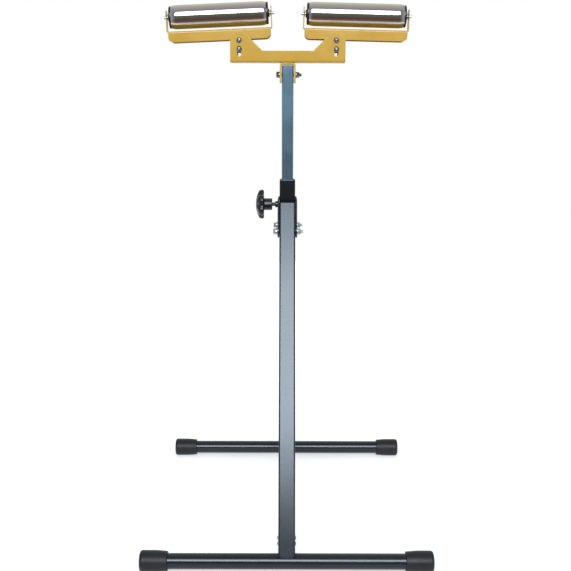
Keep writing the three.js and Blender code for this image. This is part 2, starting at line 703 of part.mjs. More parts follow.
// The plastic cap of the +x end, with its bearing seat open towards the inside.
function rollerCap() {
  const end = ROLLER_LENGTH / 2;
  const seat = end - ROLLER_CAP_FACE + GAP;
  const deep = end - ROLLER_CAP_FACE - ROLLER_CAP_DEPTH;
  const plugRadius = ROLLER_RADIUS - ROLLER_WALL - GAP;
  const bore = AXLE_RADIUS + 2 * GAP;
  return turned([
    [deep, BEARING_RADIUS + GAP],
    [seat, BEARING_RADIUS + GAP],
    [seat, bore],
    [end + BOSS_HEIGHT, bore],
    [end + BOSS_HEIGHT, BOSS_RADIUS - BOSS_EDGE],
    [end + BOSS_HEIGHT - BOSS_EDGE, BOSS_RADIUS],
    [end, BOSS_RADIUS],
    [end, ROLLER_CAP_RADIUS - ROLLER_CAP_EDGE],
    [end - ROLLER_CAP_EDGE, ROLLER_CAP_RADIUS],
    [end - ROLLER_CAP_FACE + GAP, ROLLER_CAP_RADIUS],
    [end - ROLLER_CAP_FACE + GAP, plugRadius],
    [deep, plugRadius],
  ]);
}

function bearing() {
  const outer = ROLLER_LENGTH / 2 - ROLLER_CAP_FACE;
  const inner = outer - BEARING_WIDTH;
  const bore = AXLE_RADIUS + GAP;
  return turned(
    [
      [inner, bore],
      [outer, bore],
      [outer, bore + BEARING_RING],
      [outer - BEARING_GROOVE, bore + BEARING_RING],
      [outer - BEARING_GROOVE, BEARING_RADIUS - BEARING_RING],
      [outer, BEARING_RADIUS - BEARING_RING],
      [outer, BEARING_RADIUS],
      [inner, BEARING_RADIUS],
    ],
    COARSE,
  );
}

function axleClip() {
  const plate = CRADLE_HALF - SHEET / 2 - GAP;
  const bore = AXLE_RADIUS + GAP;
  return turned(
    [
      [plate - CLIP_THICK, bore],
      [plate, bore],
      [plate, CLIP_RADIUS],
      [plate - CLIP_THICK, CLIP_RADIUS],
    ],
    COARSE,
  );
}

// A cradle with its roller: turn 0 is the left one, and half a turn makes the right one.
function addCradle(name, turn, sag) {
  const side = nest(stand, [0, 0, 0], "z", turn);
  const tilt = nest(side, [-TILT_X, 0, TILT_Z], "y", -sag);
  const axis = nest(tilt, [CRADLE_MIDDLE, 0, AXLE_RISE]);
  const axleHalf = CRADLE_HALF + SHEET / 2 + AXLE_PROUD;
  add(tilt, `${name}_cradle`, cradle(), GOLD_PAINT);
  add(axis, `${name}_axle`, rod("x", AXLE_RADIUS, -axleHalf, axleHalf), BRIGHT_ZINC);
  add(axis, `${name}_roller_tube`, rollerTube(), CHROME);
  for (const [place, angle] of [["inner", 0], ["outer", Math.PI]]) {
    add(axis, `${name}_roller_cap_${place}`, rollerCap().rotateZ(angle), BLACK_PLASTIC);
    add(axis, `${name}_bearing_${place}`, bearing().rotateZ(angle), BRIGHT_ZINC);
    add(axis, `${name}_axle_clip_${place}`, axleClip().rotateZ(angle), BRIGHT_ZINC);
  }
}

addCradle("left", 0, LEFT_SAG);
addCradle("right", Math.PI, RIGHT_SAG);

export default stand;
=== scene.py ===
# %% [markdown]
# # A folding roller stand
# The stand carries a long board while it is sawn: two chromed rollers in tilting cradles, a post that slides
# in a main tube, and two legs that fold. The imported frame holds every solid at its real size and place.
# This lesson dresses that frame: each cell makes one kind of piece or one finish, in metres, in its place.

# %% Load the frame
import json
import math

import bmesh
import bpy
from mathutils import Matrix, Vector
from mathutils.geometry import delaunay_2d_cdt

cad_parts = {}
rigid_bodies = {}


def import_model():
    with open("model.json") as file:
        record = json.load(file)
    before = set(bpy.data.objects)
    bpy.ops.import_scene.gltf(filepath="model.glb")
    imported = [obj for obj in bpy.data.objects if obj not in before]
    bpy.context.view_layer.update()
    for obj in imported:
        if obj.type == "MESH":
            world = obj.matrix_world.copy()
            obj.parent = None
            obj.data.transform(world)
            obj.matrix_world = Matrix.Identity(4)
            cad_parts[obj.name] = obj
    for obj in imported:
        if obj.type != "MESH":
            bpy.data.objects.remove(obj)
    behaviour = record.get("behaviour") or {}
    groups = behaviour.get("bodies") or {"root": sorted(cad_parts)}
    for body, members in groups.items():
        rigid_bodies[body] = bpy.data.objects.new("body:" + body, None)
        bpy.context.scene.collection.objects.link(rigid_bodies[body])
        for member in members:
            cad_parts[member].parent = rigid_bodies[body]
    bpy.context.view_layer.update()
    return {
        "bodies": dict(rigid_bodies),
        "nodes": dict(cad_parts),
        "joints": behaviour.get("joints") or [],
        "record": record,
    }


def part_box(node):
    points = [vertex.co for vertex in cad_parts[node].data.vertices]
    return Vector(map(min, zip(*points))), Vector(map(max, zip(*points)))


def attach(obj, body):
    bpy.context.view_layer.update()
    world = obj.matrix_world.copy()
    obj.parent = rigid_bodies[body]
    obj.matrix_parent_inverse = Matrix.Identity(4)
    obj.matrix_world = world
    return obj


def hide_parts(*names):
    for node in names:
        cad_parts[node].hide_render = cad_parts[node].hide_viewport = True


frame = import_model()
MM = 0.001
JOINT = {joint["name"]: joint for joint in frame["joints"]}
NODE_SLOT = {row["node"]: row["material_slot"] for row in frame["record"]["subparts"]}

# %% [markdown]
# ## Camera
# The picture is taken from about 16 cm below the rollers, just under two metres away, looking slightly down.
# The lens and place were fitted to the two foot bars, which are equally long, so their sizes on the
# picture give the distance. No depth of field: everything from the front foot to the rear foot is sharp.

# %% Camera
LENS = 59.74  # millimetres, on the sensor below
SENSOR = 36
CAMERA_PLACE = Vector((-0.0032, -1.8356, 0.8206))
CAMERA_DROP = math.radians(11.08)  # how far it looks below the horizon
CAMERA_ROLL = math.radians(0.14)  # the picture leans a little


def add_object(name, data):
    obj = bpy.data.objects.new(name, data)
    bpy.context.scene.collection.objects.link(obj)
    return obj


camera_data = bpy.data.cameras.new("stand_camera")
camera_data.sensor_width = SENSOR
camera_data.lens = LENS
camera = add_object("stand_camera", camera_data)
camera.location = CAMERA_PLACE
look = Matrix.Rotation(math.pi / 2 - CAMERA_DROP, 3, "X") @ Matrix.Rotation(CAMERA_ROLL, 3, "Z")
camera.rotation_euler = look.to_euler()
bpy.context.scene.camera = camera
bpy.context.scene.view_settings.view_transform = "Standard"
print("camera:", tuple(round(v, 3) for v in camera.location))

# %% [markdown]
# ## Building node trees
# Materials, the room and the Geometry Nodes trees are all built from code. One helper adds a node, sets its
# options and feeds its inputs: a socket is linked, anything else becomes the input's value. Three more wrap
# the nodes that come back most.

# %% Node helpers


def feed(tree, node, inputs):
    for key, value in inputs.items():
        if isinstance(value, bpy.types.NodeSocket):
            tree.links.new(value, node.inputs[key])
        else:
            node.inputs[key].default_value = value


def add(tree, kind, inputs=None, **options):
    node = tree.nodes.new(kind)
    for key, value in options.items():
        setattr(node, key, value)
    feed(tree, node, inputs or {})
    return node


def math_node(tree, operation, first, second=0.0):
    return add(tree, "ShaderNodeMath", {0: first, 1: second}, operation=operation).outputs[0]


def map_range(tree, value, low, high, to_low=0.0, to_high=1.0, blend="LINEAR"):
    inputs = {"Value": value, "From Min": low, "From Max": high, "To Min": to_low, "To Max": to_high}
    return add(tree, "ShaderNodeMapRange", inputs, interpolation_type=blend).outputs["Result"]


def mix_colour(tree, share, first, second):
    return add(tree, "ShaderNodeMix", {0: share, 6: first, 7: second}, data_type="RGBA").outputs[2]


print("node helpers: feed, add, math_node, map_range, mix_colour")

# %% [markdown]
# ## Floor, backdrop and light
# Chrome and gloss paint show the room, so the room is part of the finish. A large soft box stands above the
# camera and gives the white stripe on the rollers and the pale sheen on the leg. It is made of strips that
# are dimmer at its upper and lower border. The side of the camera is dark, the rest is pale. The backdrop is
# white for the camera through Light Path, so the lamps need no extra power, and the floor stays a lit surface
# that keeps the shadow. A folded leg hangs lower than it stood, so the floor gives way to keep it in sight.

# %% Floor finish
FLOOR_FRONT = -0.55  # the paper ends here, in front of the stand
FLOOR_LIFT = ((0.3, 0.40), (1.6, 0.80))  # (distance behind the stand, glow): hides the far edge
PAPER = (0.84, 0.84, 0.84, 1)
# painted reflection: a warm tone along the paper's front edge that the chrome shows, while the camera sees
# plain paper
PAINTED_WARM_REFLECTION = (0.64, 0.46, 0.40, 1)  # warm tone along the front edge, hidden from the camera
PAPER_FADE = 0.26  # how far from the front edge that reaches


def floor_finish():
    material = bpy.data.materials.new("paper_floor")
    material.use_nodes = True
    tree = material.node_tree
    tree.nodes.clear()
    place = add(tree, "ShaderNodeTexCoord").outputs["Object"]
    depth = add(tree, "ShaderNodeSeparateXYZ", {0: place}).outputs["Y"]
    path = add(tree, "ShaderNodeLightPath").outputs
    # the warm front edge is a painted reflection; camera rays always get the plain paper
    from_edge = map_range(tree, depth, FLOOR_FRONT, FLOOR_FRONT + PAPER_FADE)
    from_edge = math_node(tree, "MAXIMUM", from_edge, path["Is Camera Ray"])
    paper = add(tree, "ShaderNodeBsdfDiffuse", {"Color": mix_colour(tree, from_edge, PAINTED_WARM_REFLECTION, PAPER)})
    (near, near_glow), (far, far_glow) = FLOOR_LIFT
    glow = map_range(tree, depth, near, far, near_glow, far_glow)
    glow = math_node(tree, "MULTIPLY", glow, from_edge)
    seen = path["Is Camera Ray"]
    for name in ("Is Glossy Ray", "Is Transmission Ray"):
        seen = math_node(tree, "MAXIMUM", seen, path[name])
    lift = add(tree, "ShaderNodeEmission", {"Strength": math_node(tree, "MULTIPLY", seen, glow)})
    both = add(tree, "ShaderNodeAddShader", {0: paper.outputs[0], 1: lift.outputs[0]})
    add(tree, "ShaderNodeOutputMaterial", {"Surface": both.outputs[0]})
    return material


PAPER_FLOOR = floor_finish()
print("floor finish:", PAPER_FLOOR.name)

# %% Floor
FLOOR_REACH = 3.0
FLOOR_DROP = 0.3 * MM


def make_floor():
    mesh = bpy.data.meshes.new("floor")
    left, right, front, back = -FLOOR_REACH, FLOOR_REACH, FLOOR_FRONT, FLOOR_REACH
    corners = [(left, front), (right, front), (right, back), (left, back)]
    mesh.from_pydata([(x, y, -FLOOR_DROP) for x, y in corners], [], [(0, 1, 2, 3)])
    mesh.materials.append(PAPER_FLOOR)
    floor = add_object("floor", mesh)
    return floor


def keep_below_feet(floor):
    """Lets the paper give way where a folded leg hangs lower than the leg stood."""
    for leg in ("front", "rear"):
        low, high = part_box(f"{leg}_foot_cap_left")
        mark = add_object(f"{leg}_foot_mark", None)
        mark.parent = frame["bodies"][f"{leg}_leg"]
        mark.location = (low + high) / 2
        below = floor.constraints.new("FLOOR")
        below.target = mark
        below.floor_location = "FLOOR_NEGATIVE_Z"
        below.offset = -mark.location.z


keep_below_feet(make_floor())
print("floor from y =", FLOOR_FRONT)

# %% Room
# The room's colour goes by the angle round the rollers' axis: 0 is level to the front, 90 straight up.
ROOM = [
    (-180, (1.0, 1.0, 1.0)),
    (-150, (0.62, 0.60, 0.57)),
    (-54, (0.24, 0.14, 0.13)),
    (-36, (0.12, 0.075, 0.06)),
    (-15, (0.16, 0.145, 0.118)),
    (4, (0.17, 0.16, 0.135)),
    (47, (0.20, 0.18, 0.22)),
    (55, (0.42, 0.37, 0.50)),
    (66, (0.48, 0.43, 0.48)),
    (80, (0.58, 0.54, 0.49)),
    (100, (0.64, 0.63, 0.55)),
    (119, (0.82, 0.82, 0.74)),
    (145, (0.86, 0.86, 0.80)),
    (166, (1.0, 1.0, 1.0)),
    (180, (1.0, 1.0, 1.0)),
]
ROOM_SIDES = (0.42, 0.46, 0.50, 1)
SIDES_BLEND = (0.18, 0.60)  # how far aside a direction points where the side tone begins and is full


def make_room():
    world = bpy.data.worlds.new("studio")
    bpy.context.scene.world = world
    world.use_nodes = True
    tree = world.node_tree
    tree.nodes.clear()
    way = add(tree, "ShaderNodeTexCoord").outputs["Generated"]
    parts = add(tree, "ShaderNodeSeparateXYZ", {0: way}).outputs
    angle = math_node(tree, "ARCTAN2", parts["Z"], math_node(tree, "MULTIPLY", parts["Y"], -1))
    ramp = add(tree, "ShaderNodeValToRGB", {"Fac": map_range(tree, angle, -math.pi, math.pi)})
    stops = ramp.color_ramp.elements
    for index, (degrees, colour) in enumerate(ROOM):
        at = (degrees + 180) / 360
        stop = stops[index] if index < 2 else stops.new(at)
        stop.position = at
        stop.color = (*colour, 1)
    aside = math_node(tree, "ABSOLUTE", parts["X"])
    share = map_range(tree, aside, *SIDES_BLEND, blend="SMOOTHSTEP")
    whole = mix_colour(tree, share, ramp.outputs["Color"], ROOM_SIDES)
    room = add(tree, "ShaderNodeBackground", {"Color": whole})
    backdrop = add(tree, "ShaderNodeBackground", {"Color": (1, 1, 1, 1)})
    seen = add(tree, "ShaderNodeLightPath").outputs["Is Camera Ray"]
    pick = add(tree, "ShaderNodeMixShader", {"Fac": seen, 1: room.outputs[0], 2: backdrop.outputs[0]})
    add(tree, "ShaderNodeOutputWorld", {"Surface": pick.outputs[0]})


make_room()
print("room:", len(ROOM), "tones round the rollers' axis")

# %% Soft box
SOFT_BOX_DISTANCE = 3.8  # in front of the stand
SOFT_BOX_WIDTH = 2.4
SOFT_BOX_TINT = (0.90, 0.96, 1.0)
SOFT_BOXES = {  # lower edge, upper edge, brightness
    "soft_box_lower_rim": (1.54, 1.72, 0.7),
    "soft_box_low": (1.72, 3.3, 13.5),
    "soft_box_high": (3.3, 4.1, 7.6),
    "soft_box_upper_edge": (4.1, 4.55, 2.2),
    "soft_box_upper_rim": (4.55, 4.85, 0.9),
}


def make_soft_box(name, low, high, brightness):
    light = bpy.data.lights.new(name, "AREA")
    light.shape = "RECTANGLE"
    light.size, light.size_y = SOFT_BOX_WIDTH, high - low
    light.energy = brightness * math.pi * SOFT_BOX_WIDTH * (high - low)
    light.color = SOFT_BOX_TINT
    lamp = add_object(name, light)
    lamp.location = (0, -SOFT_BOX_DISTANCE, (low + high) / 2)
    lamp.rotation_euler = (math.pi / 2, 0, 0)
    print(name, round(light.energy), "W")


for box_name, box_values in SOFT_BOXES.items():
    make_soft_box(box_name, *box_values)

# %% [markdown]
# ## Shared surface effects
# Three effects come back in the finishes. Powder coat, plating and moulded plastic all have a fine grain that
# breaks up the gloss, every handled surface has faint cloudy marks, and paint wears thin along cut edges,
# where its paler tone is also a painted highlight for the light the rounded edges catch.
# Each is a node group that is built once. A group puts out only values, so each material keeps its own shader
# and feeds them where it wants.

# %% Surface effect groups
SPECKS = 420.0  # noise scale of the specks that break up handling marks
CHIPS = 160.0  # noise scale of the wear along an edge
# the chips break up the edge tone, which is both paint wearing thin and a painted highlight
# The part of each noise's range that is stretched to reach from nought to one
DRIFT_RANGE = (0.3, 0.7)
CLOUD_RANGE = (0.5, 0.75)
SPECK_RANGE = (0.35, 0.7)
CHIP_RANGE = (0.3, 0.6)


def effect_group(name, inputs, outputs):
    """A shader node group with value sockets; also gives its inputs, output node and object coordinates."""
    group = bpy.data.node_groups.new(name, "ShaderNodeTree")
    for label, default in inputs.items():
        socket = group.interface.new_socket(label, in_out="INPUT", socket_type="NodeSocketFloat")
        socket.default_value = default
    for label in outputs:
        group.interface.new_socket(label, in_out="OUTPUT", socket_type="NodeSocketFloat")
    place = add(group, "ShaderNodeTexCoord").outputs["Object"]
    return group, add(group, "NodeGroupInput").outputs, add(group, "NodeGroupOutput"), place


def noise(tree, place, scale, detail):
    return add(tree, "ShaderNodeTexNoise", {"Vector": place, "Scale": scale, "Detail": detail}).outputs["Fac"]


def make_grain():
    """Fine grain: a height for bump, and a slow drift that varies colour and gloss."""
    scales = {"Grain Scale": 900.0, "Drift Scale": 14.0}
    group, start, end, place = effect_group("fine_grain", scales, ["Height", "Drift"])
    drift = map_range(group, noise(group, place, start["Drift Scale"], detail=5.0), *DRIFT_RANGE)
    feed(group, end, {"Height": noise(group, place, start["Grain Scale"], detail=2.0), "Drift": drift})
    return group


def make_handling():
    """Faint cloudy marks from dust and hands: a mask that is mostly nought."""
    group, start, end, place = effect_group("handling_marks", {"Mark Scale": 22.0, "Amount": 0.5}, ["Mask"])
    clouds = map_range(group, noise(group, place, start["Mark Scale"], detail=8.0), *CLOUD_RANGE)
    specks = map_range(group, noise(group, place, SPECKS, detail=2.0), *SPECK_RANGE)
    broken = math_node(group, "MULTIPLY", clouds, specks)
    feed(group, end, {"Mask": math_node(group, "MULTIPLY", broken, start["Amount"])})
    return group


def make_edge_wear():
    """Paint wearing thin on cut edges, together with a painted highlight there: a broken mask on the rounded
    cut edges' faces.
    """
    group, start, end, place = effect_group("edge_wear_and_highlight", {"Amount": 0.0}, ["Mask"])
    edge = add(group, "ShaderNodeAttribute", attribute_name="wear_and_highlight_edge").outputs["Fac"]
    broken = map_range(group, noise(group, place, CHIPS, detail=4.0), *CHIP_RANGE)
    strength = math_node(group, "MULTIPLY", broken, start["Amount"])
    feed(group, end, {"Mask": math_node(group, "MULTIPLY", edge, strength)})
    return group


GRAIN = make_grain()
HANDLING = make_handling()
EDGE_WEAR_AND_HIGHLIGHT = make_edge_wear()
print("effect groups:", GRAIN.name, HANDLING.name, EDGE_WEAR_AND_HIGHLIGHT.name)

# %% [markdown]
# ## Finishes
# Each finish of the record gets one procedural material. They share a skeleton: two colours mixed by the
# grain's slow drift, a gloss that drifts with them and is dulled by the handling marks, and a bump from the
# fine grain. Object coordinates keep the pattern still on each piece when it moves.

# %% Finish skeleton
# share of the paler edge tone on a cut edge: paint wearing thin, and a painted highlight for the light a
# rounded edge catches
WEAR_AND_HIGHLIGHT_SHARE = 0.3  # how much of the worn colour shows on a cut edge
MARK_DULLING = 0.25  # roughness that a full handling mark adds
GRAIN_HEIGHT = 0.5 * MM


def effect(tree, group, inputs):
    return add(tree, "ShaderNodeGroup", inputs, node_tree=group).outputs


def surface(name, dark, light, gloss, grain, drift, bump, marks, metallic=0.0, wear_and_highlight=None, shader=()):
    """A material with drifting colour and gloss, fine bump, marks, and cut edges that wear pale with a
    painted highlight.
    """
    material = bpy.data.materials.new(name)
    material.use_nodes = True
    tree = material.node_tree
    grains = effect(tree, GRAIN, {"Grain Scale": grain, "Drift Scale": drift})
    hands = effect(tree, HANDLING, {"Amount": marks})["Mask"]
    colour = mix_colour(tree, grains["Drift"], (*dark, 1), (*light, 1))
    # cut edges take a paler tone: paint wearing thin there, and a painted highlight
    if wear_and_highlight:
        edges = effect(tree, EDGE_WEAR_AND_HIGHLIGHT, {"Amount": WEAR_AND_HIGHLIGHT_SHARE})["Mask"]
        colour = mix_colour(tree, edges, colour, (*wear_and_highlight, 1))
    dulling = math_node(tree, "MULTIPLY", hands, MARK_DULLING)
    rough = math_node(tree, "ADD", map_range(tree, grains["Drift"], 0, 1, *gloss), dulling)
    bumps = {"Strength": bump, "Distance": GRAIN_HEIGHT, "Height": grains["Height"]}
    normal = add(tree, "ShaderNodeBump", bumps).outputs["Normal"]
    inputs = {"Metallic": metallic, "Base Color": colour, "Roughness": rough, "Normal": normal}
    feed(tree, tree.nodes["Principled BSDF"], {**inputs, **dict(shader)})
    return material


FINISH = {}
print("finish skeleton: colour, gloss, bump, handling marks and worn edges")

# %% [markdown]
# ### Paint
# The tubes are gloss black with a faint blue cast, the head and the cradles a satin golden yellow. Both are
# powder coat: melted powder leaves a little orange peel, and it runs thin on cut edges, where a paler tone
# shows; that tone is also a painted highlight for the light the rounded edges catch. A tinted specular gives
# the black its cast without making it a lighter colour.

# %% Paint
# the last colour of each paint is its cut edges' tone: where it wears thin, and a painted highlight
FINISH["black_paint"] = surface(
    "black_powder_coat", (0.004, 0.005, 0.007), (0.007, 0.008, 0.011), (0.19, 0.23), grain=420.0, drift=9.0,
    bump=0.005, marks=0.15, wear_and_highlight=(0.10, 0.11, 0.13),
    shader={"IOR": 1.52, "Specular Tint": (0.80, 0.91, 1.0, 1)},
)
FINISH["gold_paint"] = surface(
    "gold_powder_coat", (0.485, 0.280, 0.030), (0.545, 0.320, 0.038), (0.20, 0.26), grain=700.0, drift=26.0,
    bump=0.03, marks=0.3, wear_and_highlight=(0.80, 0.64, 0.34),
)
print("paint:", ", ".join(FINISH))

# %% [markdown]
# ### Plating and bare metal
# The post is zinc plated with a blue passivation, mottled in soft patches. The small hardware has three more
# platings: bright on the axles and their clips, darkened in the head and on the knob's stud, and dull at the
# hinge. The rollers are polished chromium with faint marks from boards that rolled over them. The brass plug
# is left as it comes off the lathe. All are full metals, so their colour is that of their reflection.

# %% Plating and bare metal
BOLTS = {"metallic": 1.0, "grain": 1400.0, "drift": 120.0, "bump": 0.05, "marks": 0.5}
FINISH["blue_zinc"] = surface(
    "blue_zinc_plate", (0.22, 0.38, 0.54), (0.27, 0.43, 0.59), (0.20, 0.24), grain=520.0, drift=20.0,
    bump=0.03, marks=0.15, metallic=1.0,
)
FINISH["bright_zinc"] = surface(
    "bright_zinc_plate", (0.46, 0.49, 0.50), (0.62, 0.63, 0.62), (0.16, 0.24), **BOLTS,
)
FINISH["dark_zinc"] = surface(
    "dark_zinc_plate", (0.19, 0.20, 0.21), (0.30, 0.31, 0.31), (0.12, 0.18), **BOLTS,
)
FINISH["dull_zinc"] = surface(
    "dull_zinc_plate", (0.60, 0.68, 0.70), (0.72, 0.78, 0.79), (0.36, 0.46), **BOLTS,
)
FINISH["chrome"] = surface(
    "polished_chrome", (0.56, 0.555, 0.52), (0.59, 0.585, 0.55), (0.08, 0.11), grain=1600.0, drift=18.0,
    bump=0.004, marks=0.08, metallic=1.0,
)
FINISH["brass"] = surface(
    "turned_brass", (0.50, 0.34, 0.12), (0.60, 0.43, 0.17), (0.28, 0.40), grain=1800.0, drift=60.0,
    bump=0.08, marks=0.3, metallic=1.0,
)
print("with metals:", ", ".join(FINISH))

# %% [markdown]
# ### Plastic and rubber
# The knob and the roller caps are moulded plastic with a spark-eroded grain, the foot caps soft rubber with
# dust in its grain. Both have the same near black. Gloss, grain and marks tell them apart, so these differ.

# %% Plastic and rubber
MOULDED = ((0.006, 0.008, 0.010), (0.010, 0.012, 0.015))
FINISH["black_plastic"] = surface(
    "moulded_black_plastic", *MOULDED, (0.25, 0.33), grain=1500.0, drift=40.0, bump=0.012, marks=0.3,
    shader={"Specular IOR Level": 0.42},
)
FINISH["black_rubber"] = surface(
    "moulded_black_rubber", *MOULDED, (0.40, 0.50), grain=1100.0, drift=30.0, bump=0.12, marks=0.6,
    shader={"Specular IOR Level": 0.36},
)
for node_name, node in frame["nodes"].items():
    node.data.materials.clear()
    node.data.materials.append(FINISH[NODE_SLOT[node_name]])
print("finishes:", ", ".join(FINISH))

# %% [markdown]
# ## Drawing outlines
# Workshop shapes are straight lines and arcs. Three small helpers draw them: an arc, a polygon with rounded
# corners, and a belt laid round circles. All give plain lists of points, so any later step can use them.

# %% Outline helpers


def arc(centre, radius, start, end, steps):
    """Points of an arc between two angles in radians, both ends included."""
    angles = [start + (end - start) * i / steps for i in range(steps + 1)]
    return [Vector((centre[0] + radius * math.cos(a), centre[1] + radius * math.sin(a))) for a in angles]


def following(loop):
    """Each point of a closed loop with the next one."""
    return zip(loop, loop[1:] + loop[:1])


def filleted(corners, steps=6, between=0):
    """A closed outline from corners (x, y, radius), with extra points between them on the straights."""
    groups = []
    for i, (x, y, radius) in enumerate(corners):
        here = Vector((x, y))
        before = (Vector(corners[i - 1][:2]) - here).normalized()
        after = (Vector(corners[(i + 1) % len(corners)][:2]) - here).normalized()
        half = before.angle(after) / 2
        centre = here + (before + after).normalized() * (radius / math.sin(half))
        first = here + before * (radius / math.tan(half)) - centre
        last = here + after * (radius / math.tan(half)) - centre
        start = math.atan2(first.y, first.x)
        sweep = (math.atan2(last.y, last.x) - start + math.pi) % (2 * math.pi) - math.pi
        groups.append(arc(centre, radius, start, start + sweep, steps))
    outline = []
    for group, after in following(groups):
        outline += group
        outline += [group[-1].lerp(after[0], k / (between + 1)) for k in range(1, between + 1)]
    return outline


def belt(circles, steps=14):
    """A closed outline laid anticlockwise round circles (x, y, radius)."""
    normals = []
    for (x, y, radius), (next_x, next_y, next_radius) in following(circles):
        span = math.hypot(next_x - x, next_y - y)
        dx, dy = (next_x - x) / span, (next_y - y) / span
        along = (radius - next_radius) / span
        aside = math.sqrt(1 - along * along)
        normals.append(math.atan2(dy * along - dx * aside, dx * along + dy * aside))
    outline = []
    for i, (x, y, radius) in enumerate(circles):
        sweep = (normals[i] - normals[i - 1]) % (2 * math.pi)
        outline += arc((x, y), radius, normals[i - 1], normals[i - 1] + sweep, steps)
    return outline


def rectangle(half_x, half_y, corner):
    signs = ((1, -1), (1, 1), (-1, 1), (-1, -1))
    return [(x * half_x, y * half_y, corner) for x, y in signs]


print("points of a square with rounded corners:", len(filleted(rectangle(1, 1, 0.1))))

# %% [markdown]
# ## From points to pieces
# Most pieces here are skins: rings of points joined one after the other. A turned piece is rings of circles,
# a tube is rings of rounded squares, and a knob is rings of a star. A Weighted Normal modifier keeps the
# flats flat beside their rounded corners, as on rolled tube. The last helper gives a mesh its finish and
# its body.

# %% Skins
SHARP = math.radians(35)
FACE_WEIGHT = 60  # how much the large faces rule the normals


def skin(rings, closed=False):
    """Joins rings of equally many points; a ring of one point is a pole."""
    bm = bmesh.new()
    rows = [[bm.verts.new(point) for point in ring] for ring in rings]
    if closed:
        rows.append(rows[0])
    for lower, upper in zip(rows, rows[1:]):
        count = max(len(lower), len(upper))
        for i in range(count):
            j = (i + 1) % count
            around = ((lower, i), (lower, j), (upper, j), (upper, i))
            corners = list(dict.fromkeys(row[k % len(row)] for row, k in around))
            if len(corners) > 2:
                bm.faces.new(corners)
    bmesh.ops.recalc_face_normals(bm, faces=bm.faces)
    return bm


def evaluated(obj, name):
    """The object's mesh with its modifiers applied, as a plain mesh; the object is removed."""
    bpy.context.scene.collection.objects.link(obj)
    depsgraph = bpy.context.evaluated_depsgraph_get()
    mesh = bpy.data.meshes.new_from_object(obj.evaluated_get(depsgraph))
    old = obj.data
    obj.modifiers.clear()
    bpy.data.objects.remove(obj)
    bpy.data.meshes.remove(old)
    mesh.name = name
    return mesh


def to_mesh(bm, name):
    mesh = bpy.data.meshes.new(name + "_draft")
    bm.to_mesh(mesh)
    bm.free()
    return mesh


def mesh_of(bm, name):
    """A smooth mesh with crisp edges, and flats that stay flat."""
    draft = to_mesh(bm, name)
    draft.shade_smooth()
    draft.set_sharp_from_angle(angle=SHARP)
    obj = bpy.data.objects.new(name + "_draft", draft)
    normals = obj.modifiers.new("normals", "WEIGHTED_NORMAL")
    normals.keep_sharp = True
    normals.weight = FACE_WEIGHT
    return evaluated(obj, name)


print("edges sharper than", round(math.degrees(SHARP)), "degrees stay crisp")

# %% Turned meshes and pieces
ROUND = 72  # sides of a large round piece


def circle(along, radius, sides):
    if radius == 0:
        return [Vector((along, 0, 0))]
    angles = [2 * math.pi * i / sides for i in range(sides)]
    return [Vector((along, radius * math.cos(a), radius * math.sin(a))) for a in angles]


def turned(name, profile, closed=False, sides=ROUND):
    """A piece turned about the x axis from a profile of (along, radius) points."""
    return mesh_of(skin([circle(along, radius, sides) for along, radius in profile], closed), name)


def piece(name, mesh, body, slot, nodes=(), place=Matrix(), finish=None):
    """Puts a mesh in its place, gives it its finish, and lets it ride on its body."""
    mesh.transform(place)
    mesh.materials.clear()
    mesh.materials.append(FINISH[finish or slot])
    obj = add_object(name, mesh)
    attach(obj, body)
    if nodes:
        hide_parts(*nodes)
    print("piece", name, "on", body, "with", len(mesh.polygons), "faces")


print("a turned piece has", ROUND, "sides")

# %% [markdown]
# ## Square tubes
# The main tube and the legs are 30 mm square steel tube, rolled with rounded corners, and the post is 22 mm.
# A tube is a closed run of rings: up the outside, over the rounded upper end, and back down the bore. The
# heights of its ends are functions of the place on the ring, so the same helper cuts a leg's top on the slant
# and shapes its lower end as a saddle on the foot bar.

# %% Tube helper and the upright tubes
TUBE = 30 * MM
WALL = 1.5 * MM
TUBE_CORNER = 3 * MM
POST = 22 * MM
POST_CORNER = 2.2 * MM
CUT_EDGE = 0.45 * MM  # broken edge at a sawn end
END_ROUND = 1.6 * MM  # how far down the upper ends are rounded
END_INSET = 0.6 * MM
END_STEPS = 4


def square_tube(name, side, corner, low, high, wall=WALL, between=0, rounding=END_ROUND):
    """A square tube along z; low and high give the height of its ends at a point of the section."""

    def ring(shrink, end, shift):
        half = (side - 2 * shrink) / 2
        outline = filleted(rectangle(half, half, max(corner - shrink, CUT_EDGE)), between=between)
        return [Vector((p.x, p.y, end(p) + shift)) for p in outline]

    rings = [ring(CUT_EDGE, low, 0), ring(0, low, CUT_EDGE)]
    for i in range(END_STEPS + 1):
        angle = math.pi / 2 * i / END_STEPS
        rings.append(ring(END_INSET * (1 - math.cos(angle)), high, rounding * (math.sin(angle) - 1)))
    rings += [ring(wall, high, 0), ring(wall, low, 0)]
    return mesh_of(skin(rings, closed=True), name)


def upright(node, body, side, corner, slot, rounding):
    """A tube that stands as long as its node does."""
    low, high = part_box(node)
    mesh = square_tube(node, side, corner, lambda p: low.z, lambda p: high.z, rounding=rounding)
    piece(node + "_rolled", mesh, body, slot, [node])


upright("main_tube", "main_frame", TUBE, TUBE_CORNER, "black_paint", END_ROUND)
upright("post", "mast", POST, POST_CORNER, "blue_zinc", CUT_EDGE)

# %% Legs
GAP = 0.3 * MM  # clearance between pieces in the frame
FOOT_RADIUS = 14 * MM
CAP_RADIUS = 19 * MM
LEG_END = 8 * MM  # front and rear walls stop this far above the foot bar's axis
LEG_FRONT_TOP = 53.4 * MM  # front wall above the hinge bolt, along the leg
SADDLE_POINTS = 12  # extra points along each side, which draw the saddle
STUB = 26 * MM
STUB_WALL = 2 * MM
STUB_TOP = 56 * MM

